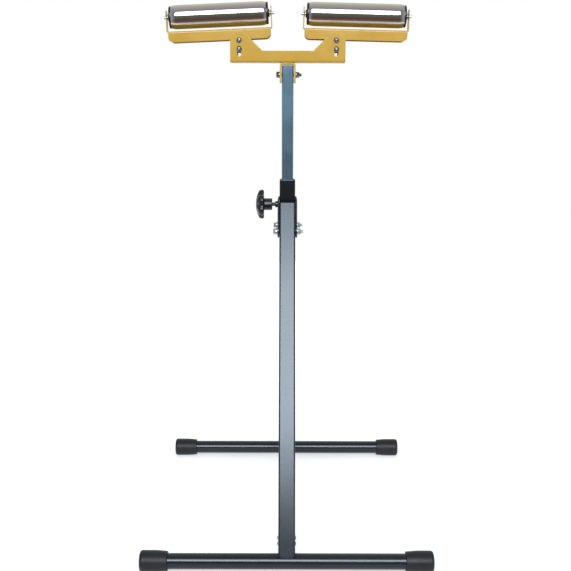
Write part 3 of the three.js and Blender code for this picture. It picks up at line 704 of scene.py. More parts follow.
hinge = Vector(JOINT["front_leg_fold"]["pos_m"])
cap_low, cap_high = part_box("front_foot_cap_left")
foot = Vector((0, (cap_low.y + cap_high.y) / 2, cap_high.z - CAP_RADIUS))
leg_length = (hinge - foot).length
leg_lean = math.atan2(hinge.y - foot.y, hinge.z - foot.z)
room_behind = -hinge.y - TUBE - GAP + TUBE / 2 * (1 - math.cos(leg_lean))
leg_back_top = room_behind / math.sin(leg_lean)
HALF_ROUND = Matrix.Rotation(math.pi, 4, "Z")
TURN = {"front": Matrix(), "rear": HALF_ROUND}


def leg_frame(name):
    """From a leg's own frame, z along the leg from its hinge, to the stand's frame."""
    return TURN[name] @ Matrix.Translation(hinge) @ Matrix.Rotation(-leg_lean, 4, "X")


def saddle(p, radius):
    return math.sqrt(max(radius * radius - p.y * p.y, 0)) - leg_length


def leg_low(p):
    return max(saddle(p, FOOT_RADIUS + GAP), LEG_END - leg_length)


def leg_high(p):
    share = min(max((p.y + TUBE / 2) / TUBE, 0), 1)
    return LEG_FRONT_TOP + (leg_back_top - LEG_FRONT_TOP) * share


for side_name in TURN:
    tube_mesh = square_tube(side_name, TUBE, TUBE_CORNER, leg_low, leg_high, between=SADDLE_POINTS)
    leg_body = side_name + "_leg"
    piece(leg_body + "_tube", tube_mesh, leg_body, "black_paint", [leg_body], leg_frame(side_name))
    stub_mesh = square_tube(
        side_name, STUB, TUBE_CORNER, lambda p: saddle(p, FOOT_RADIUS), lambda p: STUB_TOP - leg_length,
        wall=STUB_WALL, between=SADDLE_POINTS,
    )
    piece(side_name + "_foot_stub", stub_mesh, leg_body, "black_paint", (), leg_frame(side_name))

# %% [markdown]
# ## Foot bars and rubber caps
# A foot bar is plain round tube, so it is turned from a short profile. The caps are moulded rubber: a slight
# taper to a soft lip, a rounded outer end, and a narrow flat where the weight presses them on the floor.

# %% Foot bars and caps
CAP_LENGTH = 49.3 * MM
CAP_MOUTH = 17.6 * MM  # radius at the lip
CAP_LIP = 1.2 * MM
CAP_TAPER = 22 * MM
CAP_STEPS = 8
CAP_EDGE = 5 * MM
CAP_END = 4 * MM  # rubber beyond the bar's end
BAR_WALL = 1.5 * MM

foot_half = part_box("front_foot_cap_right")[1].x
bar_half = foot_half - CAP_END


def foot_bar(name):
    bore = FOOT_RADIUS - BAR_WALL
    profile = [(-bar_half, FOOT_RADIUS), (bar_half, FOOT_RADIUS), (bar_half, bore), (-bar_half, bore)]
    return turned(name, profile, closed=True)


def foot_cap(name):
    """The cap on the +x end of a bar, about the bar's axis."""
    mouth = foot_half - CAP_LENGTH
    lip = mouth + CAP_LIP
    bore = FOOT_RADIUS + GAP
    profile = [(bar_half + GAP, 0), (bar_half + GAP, bore), (mouth, bore)]
    profile += arc((lip, CAP_MOUTH - CAP_LIP), CAP_LIP, math.pi, math.pi / 2, steps=5)
    for i in range(1, CAP_STEPS + 1):
        share = i / CAP_STEPS
        swell = share * share * (3 - 2 * share)
        profile.append((lip + (CAP_TAPER - CAP_LIP) * share, CAP_MOUTH + (CAP_RADIUS - CAP_MOUTH) * swell))
    profile += arc((foot_half - CAP_EDGE, CAP_RADIUS - CAP_EDGE), CAP_EDGE, math.pi / 2, 0, CAP_STEPS)
    profile.append((foot_half, 0))
    return turned(name, profile)


def press_flat(mesh):
    """Flattens what would reach below the floor."""
    for vertex in mesh.vertices:
        vertex.co.z = max(vertex.co.z, 0)


for side_name, turn in TURN.items():
    leg_body = side_name + "_leg"
    bar_node = side_name + "_foot_bar"
    at_foot = turn @ Matrix.Translation(foot)
    piece(side_name + "_foot_tube", foot_bar(side_name), leg_body, "black_paint", [bar_node], at_foot)
    for hand, half_turn in (("right", 0), ("left", math.pi)):
        cap = foot_cap(side_name)
        spin = Matrix.Rotation(half_turn, 4, "Z")
        cap.transform(Matrix.Translation((0, turn[1][1] * foot.y, foot.z)) @ spin)
        press_flat(cap)
        node_name = side_name + "_foot_cap_" + hand
        piece(node_name + "_moulded", cap, leg_body, "black_rubber", [node_name])

# %% [markdown]
# ## Sheet metal
# The head, the cradles and the yoke are cut flat from sheet and folded on a press. They are made the same way
# here: draw the flat blank with its holes and cut it across at the bend lines so that it can bend. The two
# faces are the blank, a sheet's thickness apart, and a rounded strip joins them along every cut edge.
# Solidify and Bevel could do that too, but a bevel shrinks to fit the short edges in a bend, and these edges
# catch the light. The hinge plates are made the same way and stay flat.

# %% Blanks and bends
BEND_STEPS = 6
BLANK_MERGE = 0.02 * MM  # points of a blank closer than this become one
FILL_INSIDE = 1  # the triangulation keeps what lies inside the outline
FILL_EPSILON = 1e-8


def inside(p, loop):
    """Whether a point lies inside a closed outline."""
    odd = False
    for a, b in following(loop):
        if (a.y > p.y) != (b.y > p.y) and p.x < a.x + (b.x - a.x) * (p.y - a.y) / (b.y - a.y):
            odd = not odd
    return odd


def blank(outline, holes, bend_lines):
    """A flat sheet in xy with holes, cut across at bend lines given as (axis, offset)."""
    points, edges = [], []
    for loop in (outline, *holes):
        first = len(points)
        points += loop
        edges += [(first + i, first + (i + 1) % len(loop)) for i in range(len(loop))]
    corners, _, triangles, *_ = delaunay_2d_cdt(points, edges, [], FILL_INSIDE, FILL_EPSILON)
    bm = bmesh.new()
    verts = [bm.verts.new((p.x, p.y, 0)) for p in corners]
    for triangle in triangles:
        middle = sum((corners[i] for i in triangle), Vector((0, 0))) / 3
        if not any(inside(middle, hole) for hole in holes):
            bm.faces.new([verts[i] for i in triangle])
    for axis, offset in bend_lines:
        across = Vector((axis == 0, axis == 1, 0))
        whole = bm.verts[:] + bm.edges[:] + bm.faces[:]
        bmesh.ops.bisect_plane(bm, geom=whole, plane_co=across * offset, plane_no=across)
    bmesh.ops.remove_doubles(bm, verts=bm.verts, dist=BLANK_MERGE)
    return bm


def bend_cuts(axis, start, radius):
    """The lines where a quarter bend beyond +-start is cut into steps."""
    cuts = [start + radius * math.pi / 2 * i / BEND_STEPS for i in range(BEND_STEPS + 1)]
    return [(axis, sign * cut) for cut in cuts for sign in (1, -1)]


def bent(offset, depth, start, radius):
    """How far out and up a quarter bend beyond +-start carries a point at a depth in the sheet."""
    beyond = abs(offset) - start
    angle = min(max(beyond / radius, 0), math.pi / 2)
    straight = max(beyond - radius * math.pi / 2, 0)
    out = min(abs(offset), start) + (radius - depth) * math.sin(angle)
    up = radius - (radius - depth) * math.cos(angle) + straight
    return math.copysign(out, offset), up


print("steps in a quarter bend:", BEND_STEPS)

# %% Rounded edges
EDGE = 0.8 * MM  # radius that breaks a cut edge
EDGE_STEPS = 3
POINT_MERGE = 0.01 * MM  # points of an outline or a folded sheet closer than this become one


def miter(before, after):
    """The sum of two unit normals, scaled so that it moves both edges by one."""
    return (before + after) / (1 + before.dot(after))


def inset(loop, distance):
    """A closed outline moved inwards, or outwards for a negative distance."""
    points = [p for p, q in following(loop) if (p - q).length > POINT_MERGE]
    sides = [(q - p).normalized() for p, q in following(points)]
    area = sum(p.cross(q) for p, q in following(points))
    inwards = [Vector((-side.y, side.x)) * math.copysign(1, area) for side in sides]
    return [p + miter(inwards[i - 1], inwards[i]) * distance for i, p in enumerate(points)]


def ways_out(bm):
    """For each vertex on the border of a flat blank, the direction that leaves the blank there."""
    normals = {}
    for edge in bm.edges:
        if edge.is_boundary:
            a, b = edge.verts
            normal = (b.co - a.co).cross(Vector((0, 0, 1))).normalized()
            if normal.dot(edge.link_faces[0].calc_center_median() - a.co) > 0:
                normal = -normal
            for vertex in edge.verts:
                normals.setdefault(vertex, []).append(normal)
    return {vertex: miter(*pair) for vertex, pair in normals.items()}


def sheet_metal(name, outline, holes, bend_lines, fold, thickness):
    """Cuts a sheet, folds it point by point with fold(point, depth), and rounds its cut edges."""
    flat = blank(inset(outline, EDGE), [inset(hole, -EDGE) for hole in holes], bend_lines)
    half = thickness / 2
    angles = [math.pi / 2 * i / EDGE_STEPS for i in range(1, EDGE_STEPS + 1)]
    corner = [(EDGE * math.sin(a), half - EDGE + EDGE * math.cos(a)) for a in angles]
    bm = bmesh.new()
    # marks the rounded cut edges, which take the paler tone of wear and a painted highlight
    wear_and_highlight = bm.faces.layers.float.new("wear_and_highlight_edge")
    front = {v: bm.verts.new(fold(v.co, half)) for v in flat.verts}
    back = {v: bm.verts.new(fold(v.co, -half)) for v in flat.verts}
    for face in flat.faces:
        bm.faces.new([front[v] for v in face.verts])
        bm.faces.new([back[v] for v in reversed(face.verts)])
    rows = [front]
    leaving = ways_out(flat)
    for reach, depth in corner + [(reach, -depth) for reach, depth in reversed(corner)]:
        rows.append({v: bm.verts.new(fold(v.co + way * reach, depth)) for v, way in leaving.items()})
    rows.append(back)
    for a, b in [edge.verts for edge in flat.edges if edge.is_boundary]:
        for upper, lower in zip(rows, rows[1:]):
            bm.faces.new([upper[a], upper[b], lower[b], lower[a]])[wear_and_highlight] = 1
    flat.free()
    bmesh.ops.remove_doubles(bm, verts=bm.verts, dist=POINT_MERGE)
    bmesh.ops.recalc_face_normals(bm, faces=bm.faces)
    return mesh_of(bm, name)


print("a cut edge is rounded by", round(EDGE / MM, 2), "mm")

# %% Hinge plates
HOLE_SIDES = 24
PLATE_LOBE = 12 * MM
PLATE_TOP_HALF = 19 * MM
PLATE_TOP_ROUND = 6 * MM
BOLT_HOLE = 3.3 * MM
CLAMP_BORE = 4.3 * MM
clamp_z = JOINT["knob_turn"]["pos_m"][2]


def bolt_hole(centre, radius):
    return arc(centre, radius, 0, 2 * math.pi * (HOLE_SIDES - 1) / HOLE_SIDES, HOLE_SIDES - 1)


def hinge_plate(node):
    low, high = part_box(node)
    top = high.z - PLATE_TOP_ROUND
    outline = belt([
        (hinge.y, hinge.z, PLATE_LOBE),
        (-hinge.y, hinge.z, PLATE_LOBE),
        (PLATE_TOP_HALF, top, PLATE_TOP_ROUND),
        (-PLATE_TOP_HALF, top, PLATE_TOP_ROUND),
    ])
    holes = [bolt_hole((y, hinge.z), BOLT_HOLE) for y in (hinge.y, -hinge.y)]
    if low.x < 0:
        holes.append(bolt_hole((0, clamp_z), CLAMP_BORE))
    middle = (low.x + high.x) / 2

    def fold(p, depth):
        return Vector((middle + depth, p.x, p.y))

    mesh = sheet_metal(node, outline, holes, [], fold, high.x - low.x)
    piece(node + "_cut", mesh, "main_frame", "black_paint", [node])


hinge_plate("hinge_plate_left")
hinge_plate("hinge_plate_right")

# %% Head channel
SHEET = 2 * MM
BEND = 2.5 * MM  # bend radius at the middle of the sheet
HEAD_DEPTH = 44 * MM
HEAD_MIDDLE = 21.7 * MM  # wall height between the ears
EAR_RADIUS = 17 * MM
EAR_STEPS = 18
SLOT_RADIUS = 3.6 * MM
SLOT_HIGH = 14.2 * MM
SLOT_LOW = 25.2 * MM

tilt = Vector(JOINT["right_cradle_tilt"]["pos_m"])
head_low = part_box("head_channel")[0]


def head_channel():
    flat = HEAD_DEPTH / 2 - SHEET / 2 - BEND
    base = head_low.z + SHEET / 2

    def reach(z):
        """Distance from the blank's middle line to the height z on a wall."""
        return flat + BEND * math.pi / 2 + z - base - BEND

    ear = reach(tilt.z)
    middle = reach(head_low.z + HEAD_MIDDLE)
    slant = EAR_RADIUS * math.sqrt(0.5)
    inner = tilt.x - slant - (ear + slant - middle)
    wall = arc((tilt.x, ear), EAR_RADIUS, 0, math.radians(135), EAR_STEPS)
    wall += [Vector((inner, middle)), Vector((-inner, middle))]
    wall += arc((-tilt.x, ear), EAR_RADIUS, math.radians(45), math.pi, EAR_STEPS)
    outline = wall + [-p for p in wall]
    ends = [reach(tilt.z - SLOT_LOW), reach(tilt.z - SLOT_HIGH)]
    holes = []
    for x in (tilt.x, -tilt.x):
        for side in (1, -1):
            holes.append(bolt_hole((x, side * ear), BOLT_HOLE))
            low, high = sorted(side * end for end in ends)
            holes.append(belt([(x, low, SLOT_RADIUS), (x, high, SLOT_RADIUS)]))

    def fold(p, depth):
        out, up = bent(p.y, depth, flat, BEND)
        return Vector((p.x, out, base + up))

    return sheet_metal("head_channel", outline, holes, bend_cuts(1, flat, BEND), fold, SHEET)


piece("head_channel_folded", head_channel(), "mast", "gold_paint", ["head_channel"])

# %% Yoke
YOKE_SHEET = 3.4 * MM
YOKE_BEND = 3.3 * MM
YOKE_ROUND = 5 * MM

yoke_low, yoke_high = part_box("yoke")
yoke_bolt_z = sum(corner.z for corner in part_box("yoke_bolt")) / 2


def yoke():
    flat = yoke_high.x - YOKE_SHEET / 2 - YOKE_BEND
    top = yoke_high.z - YOKE_SHEET / 2
    reach = flat + YOKE_BEND * math.pi / 2 + top - yoke_low.z - YOKE_BEND
    outline = filleted(rectangle(reach, yoke_high.y, YOKE_ROUND))
    bolt = reach - (yoke_bolt_z - yoke_low.z)
    holes = [bolt_hole((side * bolt, 0), BOLT_HOLE) for side in (1, -1)]

    def fold(p, depth):
        out, down = bent(p.x, depth, flat, YOKE_BEND)
        return Vector((out, p.y, top - down))

    return sheet_metal("yoke", outline, holes, bend_cuts(0, flat, YOKE_BEND), fold, YOKE_SHEET)


piece("yoke_folded", yoke(), "mast", "gold_paint", ["yoke"])

# %% [markdown]
# ## Cradles
# A cradle is one blank folded two ways: the long flanges go down past the head's ears, and the two end plates
# go up to hold the axle. The left and right cradle are the same piece, turned half round about the post.
# The frame gives the pivot bolts and the rollers' axes, and their slope is how far each cradle sags as set.

# %% Where the cradles hang
left_tilt = Vector(JOINT["left_cradle_tilt"]["pos_m"])
HANDS = {"left": Matrix(), "right": HALF_ROUND}
cradle_sag = {}
for hand in HANDS:
    along, _, rise = JOINT[hand + "_roller_spin"]["axis"]
    cradle_sag[hand] = math.atan2(abs(rise), along)
    print(hand, "cradle sags", round(math.degrees(cradle_sag[hand]), 2), "degrees")


def cradle_frame(hand):
    """From a cradle's own frame, about its pivot bolt, to the stand's frame."""
    return HANDS[hand] @ Matrix.Translation(left_tilt) @ Matrix.Rotation(-cradle_sag[hand], 4, "Y")


# %% Flanges and their slots
CRADLE_TOP = 21.4 * MM  # above the pivot bolt
FLANGE_HEIGHT = 20.1 * MM
FLANGE_OUTER = -131.5 * MM
FLANGE_ROUND = 9 * MM
TAB_RADIUS = 21.6 * MM  # the tab round the pivot bolt
TAB_OUTER = -9 * MM
TAB_INNER = 17.5 * MM
LOCK_DROP = 16 * MM  # lock screw below the pivot bolt
LOCK_SWING = math.radians(34)


def flange_outline(reach, flange_inner):
    """One flange as (along, distance from the blank's middle line), from the inner end to the outer."""
    down = -math.pi / 2
    low = CRADLE_TOP - FLANGE_HEIGHT
    height = low + FLANGE_ROUND
    tab_start, tab_end = (-math.acos(along / TAB_RADIUS) for along in (TAB_INNER, TAB_OUTER))
    points = arc((flange_inner - FLANGE_ROUND, height), FLANGE_ROUND, 0, down, steps=10)
    points.append(Vector((TAB_INNER, low)))
    points += arc((0, 0), TAB_RADIUS, tab_start, tab_end, steps=12)
    points.append(Vector((TAB_OUTER, low)))
    points += arc((FLANGE_OUTER + FLANGE_ROUND, height), FLANGE_ROUND, down, -math.pi, steps=10)
    return [Vector((p.x, reach(p.y))) for p in points]


def lock_slot(reach, side):
    """The curved slot that lets the cradle tilt past its lock screw."""
    start = -math.pi / 2 - max(cradle_sag.values())
    end = start + LOCK_SWING

    def tip(angle):
        return (LOCK_DROP * math.cos(angle), LOCK_DROP * math.sin(angle))

    points = arc((0, 0), LOCK_DROP + SLOT_RADIUS, start, end, steps=10)
    points += arc(tip(end), SLOT_RADIUS, end, end + math.pi, steps=8)[1:-1]
    points += arc((0, 0), LOCK_DROP - SLOT_RADIUS, end, start, steps=10)
    points += arc(tip(start), SLOT_RADIUS, start + math.pi, start + 2 * math.pi, steps=8)[1:-1]
    return [Vector((p.x, side * reach(p.y))) for p in points]


print("the lock slot swings", round(math.degrees(LOCK_SWING)), "degrees")

# %% Cradles
CRADLE_DEPTH = 38.8 * MM
CRADLE_OUTER = -134.2 * MM  # middle of the outer end plate
CRADLE_INNER = 61.6 * MM
END_TOP = 13 * MM  # end plate above the axle
END_HALF = 10 * MM  # half its width
TIP_ROUND = 8 * MM
AXLE_RISE = 48 * MM
AXLE_RADIUS = 3 * MM

cradle_middle = (CRADLE_OUTER + CRADLE_INNER) / 2
cradle_half = (CRADLE_INNER - CRADLE_OUTER) / 2


def cradle(name):
    flat = CRADLE_DEPTH / 2 - SHEET / 2 - BEND
    top = CRADLE_TOP - SHEET / 2
    quarter = BEND * math.pi / 2
    end_flat = cradle_half - BEND
    axle_reach = end_flat + quarter + AXLE_RISE - top - BEND
    flange_inner = cradle_middle + end_flat

    def reach(z):
        """Distance from the blank's middle line to the height z on a flange."""
        return flat + quarter + top - BEND - z

    def end_tab(sign):
        """Half an end plate, from the flange's corner to the middle line."""
        tip = cradle_middle + sign * (axle_reach + END_TOP)
        corner = (tip - sign * TIP_ROUND, END_HALF - TIP_ROUND)
        return arc(corner, TIP_ROUND, math.pi / 2, 0 if sign > 0 else math.pi, steps=10)

    side = end_tab(1)[::-1] + [Vector((flange_inner, END_HALF))] + flange_outline(reach, flange_inner)
    side += [Vector((FLANGE_OUTER, END_HALF))] + end_tab(-1)
    outline = side + [Vector((p.x, -p.y)) for p in reversed(side)]
    holes = [bolt_hole((0, sign * reach(0)), BOLT_HOLE) for sign in (1, -1)]
    holes += [bolt_hole((cradle_middle + sign * axle_reach, 0), AXLE_RADIUS + GAP) for sign in (1, -1)]
    holes += [lock_slot(reach, sign) for sign in (1, -1)]
    ends = [(axis, cradle_middle + offset) for axis, offset in bend_cuts(0, end_flat, BEND)]

    def fold(p, depth):
        along = p.x - cradle_middle
        if abs(along) > end_flat and abs(p.y) < END_HALF + EDGE / 2:
            out, up = bent(along, depth, end_flat, BEND)
            return Vector((cradle_middle + out, p.y, top + up))
        out, down = bent(p.y, -depth, flat, BEND)
        return Vector((p.x, out, top - down))

    return sheet_metal(name, outline, holes, bend_cuts(1, flat, BEND) + ends, fold, SHEET)


for hand in HANDS:
    node_name = hand + "_cradle"
    piece(node_name + "_folded", cradle(hand), node_name, "gold_paint", [node_name], cradle_frame(hand))

# %% [markdown]
# ## Rollers
# A roller is a chromed tube with a plastic cap pressed in at each end and a bearing inside each cap. The
# tube's last few millimetres are rolled in over the cap, which is why the white stripe stops short of the
# ends. All of it is turned, so a profile and enough sides make a clean mirror.

# %% Roller tube, cap and axle
ROLLER_SIDES = 128
ROLLER_RADIUS = 22.2 * MM
ROLLER_WALL = 2 * MM
ROLLER_LENGTH = 185 * MM  # over both caps
CAP_FACE = 4 * MM  # cap beyond the tube
CAP_DEPTH = 12 * MM
ROLL_IN = 11 * MM  # length that is rolled in at each end
ROLL_DROP = 1.6 * MM
ROLL_STEPS = 8
ROLLER_CAP_RADIUS = 20.3 * MM
CAP_RIM = 3 * MM  # width of the rim round the cap's face
CAP_RIM_SLOPE = 1 * MM
CAP_RIM_ROUND = 1.4 * MM
CAP_DISH = 0.8 * MM  # the face between rim and boss lies this much deeper
BEARING_RADIUS = 9.5 * MM
BOSS_RADIUS = 7.5 * MM
BOSS_HEIGHT = 2.2 * MM
BOSS_ROUND = 0.8 * MM
AXLE_PROUD = 4.2 * MM
AXLE_TIP = 0.7 * MM


def mirrored(end):
    """A whole profile from that of its +x end."""
    return [(-along, radius) for along, radius in reversed(end)] + end


def roller_tube(name):
    half = ROLLER_LENGTH / 2 - CAP_FACE
    bore = ROLLER_RADIUS - ROLLER_WALL
    shares = [i / ROLL_STEPS for i in range(ROLL_STEPS + 1)]
    end = [(half - ROLL_IN * (1 - share), ROLLER_RADIUS - ROLL_DROP * share ** 2) for share in shares]
    return turned(name, mirrored(end) + [(half, bore), (-half, bore)], closed=True, sides=ROLLER_SIDES)


def roller_cap(name):
    """The cap of the +x end, with its rim, hub boss and bearing seat."""
    end = ROLLER_LENGTH / 2
    seat = end - CAP_FACE + GAP
    deep = end - CAP_FACE - CAP_DEPTH
    face = end - CAP_DISH
    boss = end + BOSS_HEIGHT
    plug = ROLLER_RADIUS - ROLLER_WALL - GAP
    bore = AXLE_RADIUS + 2 * GAP
    rim = ROLLER_CAP_RADIUS - CAP_RIM
    profile = [(deep, BEARING_RADIUS + GAP), (seat, BEARING_RADIUS + GAP), (seat, bore), (boss, bore)]
    profile += arc((boss - BOSS_ROUND, BOSS_RADIUS - BOSS_ROUND), BOSS_ROUND, 0, math.pi / 2, steps=4)
    profile += [(face, BOSS_RADIUS), (face, rim - CAP_RIM_SLOPE), (end, rim)]
    rim_round = (end - CAP_RIM_ROUND, ROLLER_CAP_RADIUS - CAP_RIM_ROUND)
    profile += arc(rim_round, CAP_RIM_ROUND, 0, math.pi / 2, steps=5)
    profile += [(seat, ROLLER_CAP_RADIUS), (seat, plug), (deep, plug)]
    return turned(name, profile, closed=True)


def axle(name):
    half = cradle_half + SHEET / 2 + AXLE_PROUD
    end = [(half - AXLE_TIP, AXLE_RADIUS), (half, AXLE_RADIUS - AXLE_TIP), (half, 0)]
    return turned(name, mirrored(end), sides=32)


print("a roller's tube has", ROLLER_SIDES, "sides")

# %% Both rollers


def roller_frame(hand):
    """From a roller's own frame, about its middle, to the stand's frame."""
    return cradle_frame(hand) @ Matrix.Translation((cradle_middle, 0, AXLE_RISE))


for hand in HANDS:
    at_roller = roller_frame(hand)
    rolls = hand + "_roller"
    piece(rolls + "_tube_chromed", roller_tube(hand), rolls, "chrome", [rolls + "_tube"], at_roller)
    piece(hand + "_axle_rod", axle(hand), hand + "_cradle", "bright_zinc", [hand + "_axle"], at_roller)
    for end_name, half_turn in (("inner", 0), ("outer", math.pi)):
        node_name = rolls + "_cap_" + end_name
        at_end = at_roller @ Matrix.Rotation(half_turn, 4, "Z")
        piece(node_name + "_moulded", roller_cap(node_name), rolls, "black_plastic", [node_name], at_end)

# %% [markdown]
# ## Clamp knob
# The star knob is moulded round a threaded stud, which presses a plug against the post. Its rings are stars:
# a circle with six dips, deep at the rim and fading out towards the crown. The hub below has shallow flutes.
# The stud's thread is a true helix, made by letting each ring's radius follow the turn along the pitch.

# %% Knob
KNOB_SIDES = 144
KNOB_RADIUS = 28 * MM
KNOB_RIM = 8 * MM
KNOB_DOME = 7.5 * MM
KNOB_LOBES = 6
LOBE_DEPTH = 4.5 * MM
BACK_ROUND = 2.2 * MM
FRONT_ROUND = 2.6 * MM
SHOULDER = (1.6 * MM, 0.7 * MM)  # how far forward and in its first slope goes
DOME_START = 0.93  # where the dome begins, as a share of the radius
DOME_POWER = 2.4
DOME_STEPS = 13
HUB_RADIUS = 11.4 * MM
HUB_EDGE = 1.0 * MM
HUB_FLUTES = 12
FLUTE_DEPTH = 0.25 * MM
STUD_RADIUS = 3.9 * MM
STUD_SOCKET = 8 * MM

knob_low, knob_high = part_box("star_knob")
HUB_END = -knob_high.x
KNOB_BACK = -knob_low.x - KNOB_RIM - KNOB_DOME  # from the post's axis to the flat back of the star
at_clamp = Matrix.Translation((0, 0, clamp_z)) @ HALF_ROUND


def wavy_ring(along, sides, reach):
    """A ring whose radius is a function of the angle."""
    ring = []
    for i in range(sides):
        angle = 2 * math.pi * i / sides
        radius = reach(angle)
        ring.append(Vector((along, radius * math.cos(angle), radius * math.sin(angle))))
    return ring


def star_ring(along, radius, star, flutes):
    """A ring whose lobes and flutes are as strong as star and flutes say, from nought to one."""
    if radius == 0:
        return circle(along, 0, KNOB_SIDES)

    def reach(angle):
        dip = (0.5 + 0.5 * math.cos(KNOB_LOBES * angle)) ** 2
        flute = (0.5 - 0.5 * math.cos(HUB_FLUTES * angle)) ** 3
        return radius - star * LOBE_DEPTH * dip - flutes * FLUTE_DEPTH * flute

    return wavy_ring(along, KNOB_SIDES, reach)


def star_knob():
    socket = HUB_END + STUD_SOCKET + GAP
    bore = STUD_RADIUS + GAP
    crown = KNOB_BACK + KNOB_RIM + KNOB_DOME
    shoulder = KNOB_BACK + KNOB_RIM - FRONT_ROUND
    rings = [  # along, radius, strength of the lobes, strength of the flutes
        (socket, 0, 0, 0),
        (socket, bore, 0, 0),
        (HUB_END, bore, 0, 0),
        (HUB_END, HUB_RADIUS - HUB_EDGE, 0, 0.6),
        (HUB_END + HUB_EDGE, HUB_RADIUS, 0, 1),
        (KNOB_BACK - 2 * HUB_EDGE, HUB_RADIUS, 0, 1),
        (KNOB_BACK - 0.4 * HUB_EDGE, HUB_RADIUS + 0.6 * HUB_EDGE, 0, 0.5),
        (KNOB_BACK, HUB_RADIUS + 2.4 * HUB_EDGE, 0, 0),
    ]
    back = (KNOB_BACK + BACK_ROUND, KNOB_RADIUS - BACK_ROUND)
    rings += [(p.x, p.y, 1, 0) for p in arc(back, BACK_ROUND, math.pi, math.pi / 2, steps=6)]
    rings.append((shoulder, KNOB_RADIUS, 1, 0))
    rings.append((shoulder + SHOULDER[0], KNOB_RADIUS - SHOULDER[1], 0.98, 0))
    for i in range(DOME_STEPS + 1):
        share = DOME_START * (1 - i / DOME_STEPS)
        rings.append((crown - KNOB_DOME * share ** DOME_POWER, KNOB_RADIUS * share, share ** 2, 0))
    return mesh_of(skin([star_ring(*ring) for ring in rings]), "star_knob")


piece("star_knob_moulded", star_knob(), "knob", "black_plastic", ["star_knob"], at_clamp)

# %% Stud and weld nut
STUD_PITCH = 1.25 * MM
THREAD_SHARE = 0.54  # thread depth as a share of the pitch
THREAD_STEPS = 6  # rings for each pitch
NUT_EDGE = 0.7 * MM


def threaded_rod(name, low, high, radius, pitch, sides=24):
    """A rod with a helical thread along x: each ring dips once per turn, and the dip moves with the pitch."""

    def thread_ring(along):
        def reach(angle):
            share = (along / pitch - angle / (2 * math.pi)) % 1
            return radius - THREAD_SHARE * pitch * abs(2 * share - 1)

        return wavy_ring(along, sides, reach)

    steps = round((high - low) / pitch * THREAD_STEPS)
    rings = [circle(low, 0, sides)]
    rings += [thread_ring(low + (high - low) * i / steps) for i in range(steps + 1)]
    rings.append(circle(high, 0, sides))
    return mesh_of(skin(rings), name)


def weld_nut():
    """The round threaded boss that the stud runs in, welded to the hinge plate."""
    nut_low, nut_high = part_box("clamp_nut")
    low, high = -nut_high.x, -nut_low.x
    radius = (nut_high.z - nut_low.z) / 2
    profile = [(low, CLAMP_BORE), (low, radius), (high - NUT_EDGE, radius), (high, radius - NUT_EDGE)]
    return turned("clamp_nut", profile + [(high, CLAMP_BORE)], closed=True, sides=48)


stud_tip = -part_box("knob_stud")[1].x
stud = threaded_rod("knob_stud", stud_tip, HUB_END + STUD_SOCKET, STUD_RADIUS, STUD_PITCH)
piece("knob_stud_threaded", stud, "knob", "bright_zinc", ["knob_stud"], at_clamp, "dark_zinc")
piece("clamp_nut_turned", weld_nut(), "main_frame", "black_paint", ["clamp_nut"], at_clamp)

# %% [markdown]
# ## Fasteners
# Bolts, nuts, washers, screws and rivets repeat, so each is modelled once, along x from its seat, and kept in
# a kit. The tree gives each a loose turn, because nobody lines up bolt heads. Its instances are realized, and
# the result becomes one plain mesh for each body.

# %% Hexagon head and nut
KIT_SIDES = 48
BOLT_RADIUS = 3 * MM
HEX_FLATS = 5 * MM  # half the width across the flats
HEX_FACE = 0.95 * HEX_FLATS  # radius of the flat that the turned chamfer leaves
HEX_CONE = 0.96 * HEX_FLATS  # radius where the chamfer's cone begins
HEX_CHAMFER = math.tan(math.radians(30))
HEX_HEAD = 4.8 * MM
HEX_HOLLOW = 0.6 * HEX_FLATS  # radius of the hollow in the middle of a head
HEX_DISH = 0.3 * MM  # and its depth
HEX_NUT = 5.2 * MM
NUT_BORE = 3.05 * MM
NUT_CHAMFER = 0.5 * MM


def hex_ring(along, chamfer=0.0):
    """A hexagonal ring; a chamfer draws its corners back, as the turned cone on a bolt head does."""
    ring = []
    for i in range(KIT_SIDES):
        angle = 2 * math.pi * i / KIT_SIDES
        reach = HEX_FLATS / math.cos((angle + math.pi / 6) % (math.pi / 3) - math.pi / 6)
        back = chamfer * max(reach - HEX_CONE, 0)
        ring.append(Vector((along - back, reach * math.cos(angle), reach * math.sin(angle))))
    return ring


def flat_ring(along, radius):
    return circle(along, radius, KIT_SIDES)


def hex_head():
    dish = HEX_HEAD - HEX_DISH
    rings = [flat_ring(0, 0), hex_ring(0), hex_ring(HEX_HEAD, HEX_CHAMFER), flat_ring(HEX_HEAD, HEX_FACE)]
    return mesh_of(skin(rings + [flat_ring(dish, HEX_HOLLOW), flat_ring(dish, 0)]), "hex_head")


def hex_nut():
    rings = [flat_ring(0, NUT_BORE), flat_ring(0, HEX_FACE), hex_ring(0, -HEX_CHAMFER)]
    rings += [hex_ring(HEX_NUT, HEX_CHAMFER), flat_ring(HEX_NUT, HEX_FACE)]
    rings += [flat_ring(HEX_NUT, NUT_BORE + NUT_CHAMFER), flat_ring(HEX_NUT - NUT_CHAMFER, NUT_BORE)]
    return mesh_of(skin(rings, closed=True), "hex_nut")


KIT_PIECES = {"hex_head": hex_head(), "hex_nut": hex_nut()}
print("kit:", ", ".join(KIT_PIECES))

# %% Washer, shank, thread end and axle clip
WASHER = 1.6 * MM
WASHER_RADIUS = 6.2 * MM
WASHER_BORE = 3.2 * MM
WASHER_EDGE = 0.25 * MM
THREAD_END = 4.2 * MM  # thread that shows beyond a nut
BOLT_PITCH = 1.0 * MM
CLIP = 0.8 * MM
CLIP_RADIUS = 6 * MM
CLIP_BORE = 3.1 * MM
CLIP_EDGE = 0.2 * MM


